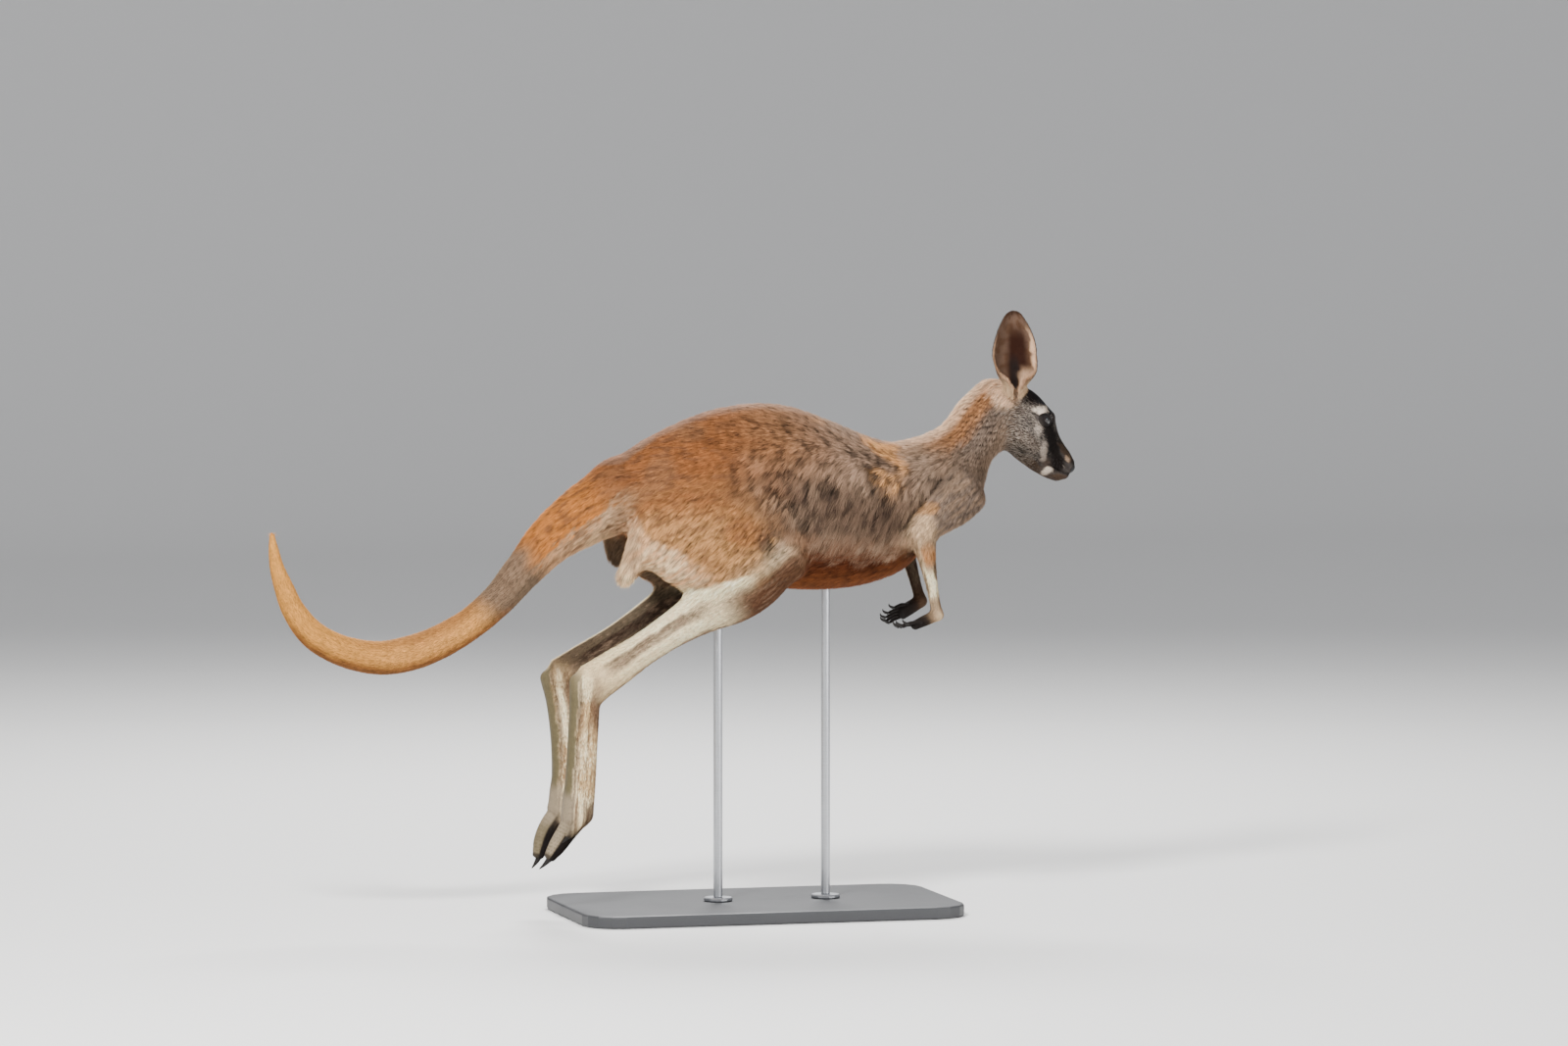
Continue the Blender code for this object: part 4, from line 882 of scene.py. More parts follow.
def palm_coat(q):
    """Brown wrist turning black over the hand."""
    s = q.share
    colour = mixed(ARM_BROWN, DARK, ramp(s, 0.0, 0.30))
    colour = mixed(colour, WARM_WHITE, 0.7 * ramp(s, 0.50, 0.0) * ramp(q.out, -0.1, 0.5))
    return region(colour, 0, 0.0048, 0.0006, 0.3)


# Region: its function, way of the lie along the tube, depth of the coat at start and end,
# tufts to the square centimetre, width of a tuft, length and width of a lock
REGIONS = {
    "trunk": (trunk_coat, -1, (0.0050, 0.0050), 62.0, 0.0019, (0.018, 0.0052)),
    "tail": (tail_coat, 1, (0.0050, 0.0016), 62.0, 0.0017, (0.014, 0.0044)),
    "chest": (neck_coat, -1, (0.0050, 0.0050), 66.0, 0.0018, (0.016, 0.0050)),
    "neck": (neck_coat, -1, (0.0050, 0.0040), 70.0, 0.0017, (0.013, 0.0048)),
    "head": (head_coat, -1, (0.0030, 0.0012), 170.0, 0.0010, (0.0080, 0.0026)),
    "thigh": (thigh_coat, 1, (0.0045, 0.0040), 66.0, 0.0018, (0.018, 0.0052)),
    "tuft": (tuft_coat, 1, (0.0070, 0.0090), 90.0, 0.0020, (0.030, 0.0060)),
    "shin": (shin_coat, 1, (0.0030, 0.0016), 64.0, 0.0013, (0.012, 0.0034)),
    "foot": (foot_coat, 1, (0.0014, 0.0012), 70.0, 0.0011, (0.010, 0.0030)),
    "toe": (toe_coat, 1, (0.0010, 0.0006), 60.0, 0.0011, (0.008, 0.0028)),
    "upper": (upper_coat, 1, (0.0040, 0.0030), 84.0, 0.0016, (0.013, 0.0044)),
    "fore": (fore_coat, 1, (0.0026, 0.0014), 120.0, 0.0011, (0.011, 0.0030)),
    "palm": (palm_coat, 1, (0.0010, 0.0006), 130.0, 0.0009, (0.006, 0.0024)),
}
REACH = 0.0065  # how fast a region's say fades with distance from its tube
FARTHEST = 0.028  # beyond this distance from its tube a region has no say
# Noises every region may use: cell along the tube, cell across it, added to the seed
NOISES = {"fine": (0.016, 0.0035, 0), "patch": (0.040, 0.022, 50), "blot": (0.055, 0.035, 150)}


def view_of(t, index, way, lock, points, normals, q):
    """Fills a view of points beside a tube with their places, facings, noises and locks."""
    middle = t.centre[:, 1].mean()
    q.x, q.y, q.z = points.T
    q.nz = normals[:, 2]
    q.out = np.abs(normals[:, 1])
    if abs(middle) >= 1e-6:
        q.out = normals[:, 1] * np.sign(middle)
    q.height = np.clip(q.height, -1, 1)
    q.cos = cosine(q)
    for name, (long, wide, seed) in NOISES.items():
        grain = columns(q.arc, q.rise, q.across) / (long, wide, wide)
        setattr(q, name, noise(grain, index + seed))
    q.angle = np.arctan2(q.across, q.rise)
    q.streak = locks(way * q.arc, q.angle * t.size.mean(), 0 * q.angle, *lock, index + 100)
    return q


def survey(points, normals):
    """Colour, lie, depth, length and lift of the coat at points, blended over the regions.

    Each region's weight is exp(-d / REACH) for d the distance to its tube."""
    count = len(points)
    out = {"owner": np.zeros(count, int), "uv": np.zeros((count, 2))}
    sums, total, best = {}, np.zeros(count), np.full(count, np.inf)
    for index, (name, t) in enumerate(TUBES.items()):
        key = name.split("_")[0]
        if key not in REGIONS:
            continue
        coat, way, depth, density, width, lock = REGIONS[key]
        near = np.flatnonzero(boxed(t, points, 0.030))
        q = beside(t, points[near])
        d = tube_distance(t, q)
        keep = d < FARTHEST
        if not keep.any():
            continue
        near, d = near[keep], d[keep]
        q = SimpleNamespace(**{part: value[keep] for part, value in vars(q).items()})
        q = view_of(t, index, way, lock, points[near], normals[near], q)
        answer = coat(q)
        answer["depth"] = depth[0] * (1 - q.share) + depth[1] * q.share
        answer["density"], answer["width"] = density, width
        answer["lie"] = unit(way * q.along + answer.pop("drift"))
        if answer["streak"] is None:
            answer["streak"] = q.streak
        weight = np.exp(-d / REACH)
        total[near] += weight
        for part, value in answer.items():
            wide = part in ("colour", "lie")
            held = sums.setdefault(part, np.zeros((count, 3) if wide else count))
            held[near] += (weight[:, None] if wide else weight) * value
        closer = d < best[near]
        mine = near[closer]
        best[mine] = d[closer]
        out["owner"][mine] = index
        out["uv"][mine] = columns(q.share, q.angle / (2 * np.pi) + 0.5)[closer]
    total = np.maximum(total, 1e-9)
    for part, value in sums.items():
        out[part] = value / (total if value.ndim == 1 else total[:, None])
    return out


# --- Meshes ---------------------------------------------------------------------------------
def new_mesh(name, points, loops, starts):
    """A linked mesh object from flat arrays of points, face corners and face starts."""
    mesh = bpy.data.meshes.new(name)
    mesh.vertices.add(len(points))
    mesh.vertices.foreach_set("co", np.asarray(points, np.float32).ravel())
    mesh.loops.add(len(loops))
    mesh.loops.foreach_set("vertex_index", np.asarray(loops, np.int32))
    mesh.polygons.add(len(starts))
    mesh.polygons.foreach_set("loop_start", np.asarray(starts, np.int32))
    mesh.update(calc_edges=True)
    mesh.polygons.foreach_set("use_smooth", np.ones(len(starts), bool))
    obj = bpy.data.objects.new(name, mesh)
    bpy.context.scene.collection.objects.link(obj)
    return obj


def quads_of(name, points, quads):
    """A mesh object of four-sided faces."""
    return new_mesh(name, points, quads.ravel(), np.arange(len(quads)) * 4)


def grid_quads(rows, cols, wrap=False):
    """Corner numbers of the faces of a grid of points; wrap joins the last column to the first."""
    r = np.arange(rows - 1)[:, None]
    c = np.arange(cols if wrap else cols - 1)[None]
    n = (c + 1) % cols
    corners = (r * cols + c, r * cols + n, (r + 1) * cols + n, (r + 1) * cols + c)
    return np.stack(np.broadcast_arrays(*corners), axis=-1).reshape(-1, 4)


def stacked(shells):
    """Several sets of points and faces as one set."""
    points, faces, count = [], [], 0
    for p, f in shells:
        points.append(p)
        faces.append(f + count)
        count += len(p)
    return np.vstack(points), np.vstack(faces)


def set_value(obj, name, values):
    """Writes a number for each vertex."""
    layer = obj.data.attributes.new(name, "FLOAT", "POINT")
    layer.data.foreach_set("value", np.asarray(values, np.float32).ravel())


def set_colour(obj, colour):
    """Writes the coat's colour for each vertex, with a fourth channel of one."""
    layer = obj.data.attributes.new("coat_colour", "FLOAT_COLOR", "POINT")
    values = np.hstack([np.clip(colour, 0.0, 1.0), np.ones((len(colour), 1))])
    layer.data.foreach_set("color", values.astype(np.float32).ravel())


def read_array(data, field, width=3, kind=np.float32):
    """A field of a mesh's vertices or faces as an array."""
    flat = np.empty(len(data) * width, kind)
    data.foreach_get(field, flat)
    return flat.reshape(-1, width).astype(float) if width > 1 else flat


def surface(obj):
    """Points and normals of an object's vertices."""
    return read_array(obj.data.vertices, "co"), read_array(obj.data.vertices, "normal")


def move_points(obj, points):
    """Puts an object's vertices at new points."""
    obj.data.vertices.foreach_set("co", points.astype(np.float32).ravel())
    obj.data.update()


def reworked(obj, change):
    """Lets a function change the object's mesh by bmesh tools."""
    mesh = bmesh.new()
    mesh.from_mesh(obj.data)
    change(mesh)
    mesh.to_mesh(obj.data)
    mesh.free()


def cap_holes(mesh):
    """Fills the open ends of tubes and turns the faces outwards."""
    bmesh.ops.holes_fill(mesh, edges=mesh.edges, sides=RING_POINTS)
    bmesh.ops.recalc_face_normals(mesh, faces=mesh.faces)


def join_poles(mesh):
    """Closes seams and poles and turns the faces outwards."""
    bmesh.ops.remove_doubles(mesh, verts=mesh.verts, dist=1e-6)
    bmesh.ops.recalc_face_normals(mesh, faces=mesh.faces)


def closed_tube(path, widths, sides):
    """Rings of given half width round a path, drawn in to a point at both ends.

    point = path + width * (cos a * side + sin a * rise)."""
    along = unit(np.gradient(path, axis=0))
    side = unit(np.cross(along, (0.02, 0.03, 1.0)))
    rise = np.cross(side, along)
    turn = 2 * np.pi * np.arange(sides) / sides
    circle = np.cos(turn)[None, :, None] * side[:, None]
    circle = circle + np.sin(turn)[None, :, None] * rise[:, None]
    points = path[:, None] + circle * np.asarray(widths)[:, None, None]
    return points.reshape(-1, 3), grid_quads(len(path), sides, wrap=True)


def joined(name, parts):
    """One mesh object from several sets of points, flat face corners and face lengths."""
    points, loops, sizes, count = [], [], [], 0
    for p, corners, lengths in parts:
        points.append(p)
        loops.append(corners + count)
        sizes.append(lengths)
        count += len(p)
    starts = np.append(0, np.cumsum(np.concatenate(sizes))[:-1])
    return new_mesh(name, np.vstack(points), np.concatenate(loops), starts)


# --- Skin -----------------------------------------------------------------------------------
THIN_COAT = 0.0004  # depth of the hair on ears and fingers
CAP_STEPS = (0.35, 0.7, 0.95, 0.999)  # rings of a tube's rounded end, as shares of its length
SIDES = ("left", "right")
# Creases seen from the side: path in x and z, depth, width, least distance from the middle
SHOULDER_LINE = (
    (0.304, 0.716), (0.2875, 0.699), (0.273, 0.681), (0.258, 0.668), (0.246, 0.648), (0.238, 0.625)
)
CREASES = (
    (((0.310, 0.722), (0.292, 0.704), (0.276, 0.686), (0.262, 0.672)), 0.0060, 0.0050, 0.030),
    (((0.262, 0.672), (0.248, 0.655), (0.238, 0.632)), 0.0035, 0.0060, 0.030),
    (((0.012, 0.700), (0.040, 0.668), (0.056, 0.628), (0.058, 0.598)), 0.0045, 0.0075, 0.050),
    (((-0.150, 0.545), (-0.120, 0.543), (-0.085, 0.556), (-0.045, 0.566)), 0.0035, 0.0060, 0.040),
)
MOUTH = ((0.552, 0.7085), (0.530, 0.7100), (0.515, 0.7145), (0.500, 0.7215), (0.4925, 0.7265))
TEAR_LINE = ((0.4905, 0.7905), (0.4990, 0.7760))


def tube_shell(t):
    """Points and faces of a closed tube with rounded ends."""
    rings, count = [], len(t.centre)
    turn = 2 * math.pi * np.arange(RING_POINTS) / RING_POINTS
    cos, sin = np.cos(turn)[:, None], np.sin(turn)[:, None]
    places = [(0, -f) for f in CAP_STEPS[::-1]] + [(i, 0.0) for i in range(count)]
    places += [(count - 1, f) for f in CAP_STEPS]
    for i, f in places:
        middle = t.centre[i] + t.along[i] * f * t.ends[0 if f < 0 else 1]
        width, above, below = t.size[i] * math.sqrt(1 - f * f)
        height = np.where(sin > 0, above, below)
        rings.append(middle + cos * width * t.side[i] + sin * height * t.up[i])
    return np.vstack(rings), grid_quads(len(rings), RING_POINTS, wrap=True)


def rough_skin():
    """One closed surface round all the tubes, from a voxel remesh."""
    obj = quads_of("skin", *stacked(tube_shell(t) for t in TUBES.values()))
    reworked(obj, cap_holes)
    rough = obj.modifiers.new("rough", "REMESH")
    rough.mode = "VOXEL"
    rough.voxel_size = VOXEL
    graph = bpy.context.evaluated_depsgraph_get()
    result = bpy.data.meshes.new_from_object(obj.evaluated_get(graph))
    obj.modifiers.clear()
    obj.data = result
    return obj


def refine(obj, wanted):
    """Splits every edge whose two ends are wanted, so that the faces there are half as large."""

    def split(mesh):
        mesh.verts.ensure_lookup_table()
        edges = [e for e in mesh.edges if all(wanted[v.index] for v in e.verts)]
        bmesh.ops.subdivide_edges(mesh, edges=edges, cuts=1, use_grid_fill=True)

    reworked(obj, split)


def sink(obj, rounds):
    """Moves the vertices along their normals to lie as deep as the coat under the blended surface.

    Gives what the survey says of the vertices before they move."""
    facts = survey(*surface(obj))
    for _ in range(rounds):
        points, normals = surface(obj)
        off = np.clip(body_distance(points) + facts["depth"], -VOXEL, VOXEL)
        move_points(obj, points - 0.85 * off[:, None] * normals)
    return facts


def near_tube(name, points, reach, core=0.0):
    """A view of points beside a tube, and their nearness: one within core of it, nought at reach."""
    q = beside(TUBES[name], points)
    return q, ramp(tube_distance(TUBES[name], q), reach, core)


def add_folds(points, normals, depths):
    """Creases of shoulder, flank and haunch, tendons of the shin, toe wrinkles and the mouth line."""
    side, y = points[:, [0, 2]], np.abs(points[:, 1])
    inward = np.zeros(len(points))
    for path, depth, width, clear in CREASES:
        inward += depth * bell(line_distance(side, path), width) * ramp(y, clear, clear * 1.6)
    for s in SIDES:
        q, near = near_tube(f"shin_{s}", points, 0.006)
        zone = ramp(q.share, 0.38, 0.55) * ramp(q.share, 0.99, 0.90)
        inward += near * zone * 0.0046 * bell(q.height + 0.10, 0.30)
        q, near = near_tube(f"foot_{s}", points, 0.004)
        zone = ramp(q.share, 0.04, 0.2) * ramp(q.share, 0.98, 0.8)
        inward += near * zone * 0.0022 * bell(cosine(q) + 0.60, 0.14)
        for level in (-0.30, 0.18):
            inward += near * zone * 0.0016 * bell(q.height - level, 0.10)
        for name, low in (("toe", 0.05), ("foot", 0.8)):
            q, near = near_tube(f"{name}_{s}", points, 0.004)
            c = cosine(q)
            wave = zigzag(q.arc / 0.0052 + 0.7 * noise(points / 0.009, 17))
            wrinkle = 0.0005 * ramp(wave, 0.75, 1.0) * ramp(c, -0.25, -0.5)
            inward += near * wrinkle * ramp(q.share, low, low + 0.15)
        pad = ramp(c, -0.15, -0.7) * ramp(q.share, 0.76, 0.90) * ramp(q.share, 1.15, 1.0)
        inward -= near * 0.0022 * pad
    muzzle = ramp(points[:, 0], 0.486, 0.494) * ramp(points[:, 2], 0.75, 0.74)
    mouth = line_distance(side, MOUTH)
    inward += muzzle * 0.0024 * bell(mouth, 0.0014)
    inward -= muzzle * 0.0008 * bell(mouth - 0.0042, 0.0026)
    lip = bell(points[:, 1], 0.0011) * ramp(points[:, 0], 0.528, 0.534)
    inward += muzzle * 0.0016 * lip * ramp(points[:, 2], 0.706, 0.712)
    inward += 0.0012 * bell(line_distance(side, TEAR_LINE), 0.0022) * ramp(y, 0.010, 0.018)
    lump = noise(points / 0.022, 7) - 0.5
    inward += 0.0016 * lump * ramp(depths, 0.0020, 0.0045)
    return points - inward[:, None] * normals


def eye_distance(points):
    """Distance to the centre of the nearer eyeball."""
    side = columns(points[:, 0], np.abs(points[:, 1]), points[:, 2])
    return np.linalg.norm(side - np.array(EYE_PLACE), axis=1)


def eye_frame(sign):
    """Centre, outward, lengthwise and upward directions of one eye."""
    mirror = np.array((1.0, sign, 1.0))
    centre, out = EYE_PLACE * mirror, unit(EYE_OUT * mirror)
    axis = unit(np.array(HEAD_AXIS[1]) - np.array(HEAD_AXIS[0]))
    length = unit(axis - out * (axis @ out))
    rise = np.cross(length, out)
    return centre, out, length, rise * math.copysign(1.0, rise[2])


def add_lids(points):
    """Opens an almond over each eyeball with a rolled lid round it.

    For e the distance outside the almond, a vertex stands at a radius from the ball's centre that
    goes from under the ball to the lid's height at e = 0, and on to where it was at e = 9 mm."""
    points = points.copy()
    for sign in (-1.0, 1.0):
        centre, out, length, rise = eye_frame(sign)
        off = points - centre
        reach = np.linalg.norm(off, axis=1)
        way = off / np.maximum(reach, 1e-9)[:, None]
        near = np.flatnonzero((reach < LID_ZONE) & (way @ out > 0.05))
        way = way[near]
        a, b = way @ length * EYE_RADIUS, way @ rise * EYE_RADIUS
        high = np.where(b > 0, EYE_UPPER, EYE_LOWER)
        f = (np.abs(a / EYE_HALF_LENGTH) ** ALMOND + np.abs(b / high) ** ALMOND) ** (1 / ALMOND)
        e = np.hypot(a, b) * (1 - 1 / np.maximum(f, 1e-6))
        e = np.where(way @ out < 0.35, np.maximum(e, 0.008), e)
        natural = np.maximum(reach[near], EYE_RADIUS + 0.0002)
        crease = 0.0009 * bell(e - 0.0052, 0.0014) * ramp(b, 0.0, 0.004)
        lid = EYE_RADIUS + LID + 0.0006 * bell(e - 0.0018, 0.0012)
        inside = EYE_RADIUS - SOCKET
        r = inside + (lid - inside) * ramp(e, -0.0009, 0.0005)
        r = r + (natural - r) * ramp(e, 0.0022, 0.0090) - crease
        points[near] = centre + way * r[:, None]
    return points


def ear_sheets(base, tip, opening, rows=56, cols=44):
    """A rolled leaf: outer and inner sheets of a scoop that opens towards one direction.

    Across the leaf a point lies on an arc of half angle 158 degrees at the base and 56 at the tip,
    whose radius makes the leaf's half width; the sheets lie half a wall either side of it."""
    base, tip = np.asarray(base, float), np.asarray(tip, float)
    along = unit(tip - base)
    front = unit(np.asarray(opening, float) - along * np.dot(opening, along))
    side = np.cross(along, front)
    share = np.linspace(0, 1, rows)[:, None]
    turn = np.sin(np.linspace(-1, 1, cols) * np.pi / 2)[None]
    curve = smooth_rows(EAR_HALF_WIDTH, SPAN_STEPS)
    half = np.interp(share, curve[:, 0], curve[:, 1]) - 0.0004
    reach = np.radians(158 - 92 * np.clip(share / 0.45, 0, 1) ** 0.8 - 10 * share)
    radius = half / np.maximum(np.sin(np.minimum(reach, np.pi / 2)), 0.6)
    angle = turn * reach
    lean = 0.006 * np.sin(np.pi * share)
    wall = EAR_WALL + (EAR_RIM - EAR_WALL) * np.maximum(np.abs(turn) ** 4, share**3)
    fold = 0.0009 * np.cos(turn * 7.0 + 2.0 * share) * ramp(share, 0.55, 0.15)
    grain = np.stack(np.broadcast_arrays(share * 5, turn * 9, 0 * turn), -1).reshape(-1, 3)
    vein = 0.0006 * (noise(grain, 3).reshape(rows, cols) - 0.5)
    middle = base + (tip - base) * share[..., None]
    sheets = []
    for thick, relief in ((0.5, 0.0), (-0.5, fold + vein)):
        r = radius + thick * wall + relief
        y = lean - (r * np.cos(angle) - radius * 0.55)
        sheets.append(middle + (r * np.sin(angle))[..., None] * side + y[..., None] * front)
    return sheets, share, turn


def ear_colour(share, turn, inner):
    """Dark channel up the middle, mottled brown inside, cream front rim and base, grey-brown back."""
    share, turn = np.broadcast_arrays(share, turn)
    grain = columns(share.ravel() * 22, turn.ravel() * 5, 0 * share.ravel())
    mottle = noise(grain, 61).reshape(share.shape)
    if not inner:
        colour = mixed(EAR_BACK, WARM_WHITE, 0.8 * ramp(share, 0.28, 0.05))
        return mixed(colour, EAR_DARK, 0.6 * ramp(share, 0.80, 1.0))
    channel = ramp(np.abs(turn - 0.24), 0.56, 0.20) * ramp(share, 0.92, 0.62)
    front = ramp(turn + 0.2 * (mottle - 0.5), 0.74, 0.90) * ramp(share, 0.86, 0.62)
    rear = ramp(turn, -0.84, -0.97) * ramp(share, 0.75, 0.50)
    flank = ramp(np.abs(turn + 0.1) + 0.3 * (mottle - 0.5), 0.35, 0.62) * ramp(share, 0.34, 0.14)
    return painted(
        EAR_BROWN,
        (ARM_BROWN, ramp(mottle, 0.35, 0.75)),
        (EAR_DARK, np.maximum(channel, ramp(share, 0.22, 0.10))),
        (DARK, 0.8 * ramp(np.abs(turn - 0.10), 0.24, 0.08) * ramp(share, 0.50, 0.30)),
        (EAR_DARK, 0.7 * ramp(share, 0.90, 1.0)),
        (NAPE_CREAM, np.maximum(0.95 * front, 0.8 * rear)),
        (NAPE_CREAM, 0.9 * flank),
    )


def ear_shell(base, tip, opening, mirror):
    """Both sheets of one ear closed along the rim: points, faces and colours."""
    sheets, share, turn = ear_sheets(base, tip, opening)
    rows, cols = sheets[0].shape[:2]
    count = rows * cols
    faces = grid_quads(rows, cols)
    numbers = np.arange(count).reshape(rows, cols)
    edge = np.concatenate(
        [numbers[0], numbers[1:, -1], numbers[-1, -2::-1], numbers[-2:0:-1, 0]]
    )
    after = np.roll(edge, -1)
    rim = columns(edge, edge + count, after + count, after)
    colour = [ear_colour(share, turn * mirror, inner).reshape(-1, 3) for inner in (False, True)]
    points = np.vstack([sheet.reshape(-1, 3) for sheet in sheets])
    return points, np.vstack([faces, faces[:, ::-1] + count, rim]), np.vstack(colour)


def finger_shells():
    """Points and faces of the ten fingers, with a swelling at each knuckle."""
    shells = []
    s = np.linspace(0, 1, 22)
    width = 0.0036 - 0.0012 * s + 0.0005 * np.cos(4 * np.pi * s) * (1 - s)
    width = width * np.sqrt(np.clip(1 - ((s - 0.88) / 0.12).clip(0, 1) ** 2, 0.03, 1))
    lift = UP * FINGER_LIFT * (4 * s * (1 - s))[:, None]
    for root, tip in finger_ends(NEAR_ARM) + finger_ends(FAR_ARM):
        shells.append(closed_tube(root + (tip - root) * s[:, None] + lift, width, FINGER_SIDES))
    return stacked(shells)


def build_skin():
    """The whole skin: body under the coat, finer over head, hands and toes, with ears and fingers."""
    obj = rough_skin()
    sink(obj, 4)
    x, _, z = surface(obj)[0].T
    head, hands, toes = (x > 0.408) & (z > 0.69), (x > 0.2) & (z < 0.530), z < 0.215
    refine(obj, head | hands | toes)
    points, _ = surface(obj)
    x, _, z = points.T
    muzzle = (x > 0.500) & (z < 0.76)
    refine(obj, muzzle | (eye_distance(points) < 0.022))
    obj.data.update()
    facts = sink(obj, 3)
    move_points(obj, add_lids(add_folds(*surface(obj), facts["depth"])))
    corners = read_array(obj.data.loops, "vertex_index", 1, np.int32)
    lengths = read_array(obj.data.polygons, "loop_total", 1, np.int32)
    body = surface(obj)[0]
    fingers, faces = finger_shells()
    shells = [(fingers, faces, np.broadcast_to(np.array(DARK), fingers.shape))]
    shells += [ear_shell(*ear, mirror) for (_, *ear), mirror in zip(EARS, (1, -1))]
    parts, colour, depth = [(body, corners, lengths)], [facts["colour"]], [facts["depth"]]
    for p, f, shade in shells:
        parts.append((p, f.ravel(), np.full(len(f), 4)))
        colour.append(shade)
        depth.append(np.full(len(p), THIN_COAT))
    bpy.data.objects.remove(obj, do_unlink=True)
    skin = joined("skin", parts)
    depth = np.concatenate(depth)
    # Painted shade: the skin darker where the coat over it is deep
    shade = 0.95 - 0.50 * ramp(depth, 0.0016, 0.0045)
    set_colour(skin, np.vstack(colour) * shade[:, None])
    set_value(skin, "coat_depth", depth)
    set_value(skin, "bare", bare_share(np.vstack([part[0] for part in parts])))
    skin["body_vertices"] = len(body)
    return skin


def bare_share(points):
    """One on the soles and pads, on the lids and round the nose, where the skin shows."""
    bare = ramp(eye_distance(points), EYE_RADIUS + 0.0035, EYE_RADIUS + 0.0018)
    nose = np.linalg.norm(points - np.array(NOSE_PLACE), axis=1)
    bare = np.maximum(bare, ramp(nose, 0.0135, 0.0120))
    for s in SIDES:
        for name, edge in ((f"foot_{s}", -0.66), (f"toe_{s}", -0.15)):
            q, near = near_tube(name, points, 0.006, 0.002)
            bare = np.maximum(bare, near * ramp(cosine(q), edge, edge - 0.12))
    return bare


# --- Coat -----------------------------------------------------------------------------------
# A blade of hair has three points at its foot and one at its tip, and two faces
BLADE_FACES = np.array((0, 1, 3, 1, 2, 3))
BLADE_ALONG = np.array((0.0, 0.0, 0.0, 1.0))
BLADE_SPREAD = np.array((-1.0, 0.0, 1.0, 0.0))
TRUNK_MIDDLE = 0.03  # where the coat of the trunk's rear meets that of its front
STREAK_MIDDLE = 0.42  # mean of the pattern of the locks
STREAK_GAIN = 2.2  # spreads that pattern to about -1 to 1
FOOT_DEPTH = 0.0006  # how far under the skin a tuft starts
SHORTEST_TOP = 0.0003  # least height of a tuft's tip
OVER_SURFACE = 0.0012  # how far a tip may stand over the blended surface
TUFT_UV = (0.0014, 0.0030)  # half width and length of a tuft in the UV map
PER_CENTIMETRE = 1e4  # square centimetres in a square metre
EAR_HAIRS = 5200  # blades on each side of an ear
EAR_FOOT_HAIRS = 1100  # how many of them are drawn to the ear's foot
EAR_FOOT = 0.14  # share of the ear that is its foot
EAR_HAIR_HALF_WIDTH = 0.00040
# Painted shade and highlight along an ear hair: darker at its root, lighter at its tip
EAR_HAIR_SHADE_AND_LIGHT = np.array((0.8, 0.8, 0.8, 1.15))
EAR_HAIR_UV = np.array(((-0.0012, -0.001), (0, -0.001), (0.0012, -0.001), (0, 0.002)))
CORNEA = 0.0006  # how far the cornea stands over the eyeball's sphere
IRIS_SIZE = (0.62, 0.58)  # half sizes of the iris along and across the eye, of the ball's radius


def scatter(mesh, density, rng):
    """Even spots on a mesh: points at equal steps of the running sum of area times density.

    Gives for each spot its triangle's corners and its three shares."""
    mesh.calc_loop_triangles()
    corners = read_array(mesh.loop_triangles, "vertices", 3, np.int32).astype(int)
    p = read_array(mesh.vertices, "co")[corners]
    area = 0.5 * np.linalg.norm(np.cross(p[:, 1] - p[:, 0], p[:, 2] - p[:, 0]), axis=1)
    running = np.cumsum(area * density[corners].mean(1) * PER_CENTIMETRE)
    marks = np.arange(int(running[-1])) + rng.random(int(running[-1]))
    chosen = np.minimum(np.searchsorted(running, marks), len(corners) - 1)
    a, b = rng.random((2, len(chosen)))
    flip = a + b > 1
    a, b = np.where(flip, 1 - a, a), np.where(flip, 1 - b, b)
    return corners[chosen], columns(1 - a - b, a, b)


def blades(name, rows, colours, uv, rng):
    """Blades of hair as one mesh, from rows of their points and each point's colour and UV."""
    points = np.stack(rows, axis=1)
    count, each = points.shape[:2]
    loops = (BLADE_FACES[None] + each * np.arange(count)[:, None]).ravel()
    obj = new_mesh(name, points.reshape(-1, 3), loops, 3 * np.arange(2 * count))
    set_colour(obj, colours.reshape(-1, 3))
    set_value(obj, "strand", np.tile(BLADE_SPREAD, count))
    set_value(obj, "seed", np.repeat(rng.random(count) * 40, each))
    layer = obj.data.uv_layers.new(name="OFBake")
    uv = np.clip(uv.reshape(-1, 2), 0.0, 1.0)
    layer.data.foreach_set("uv", uv[loops].astype(np.float32).ravel())
    return obj


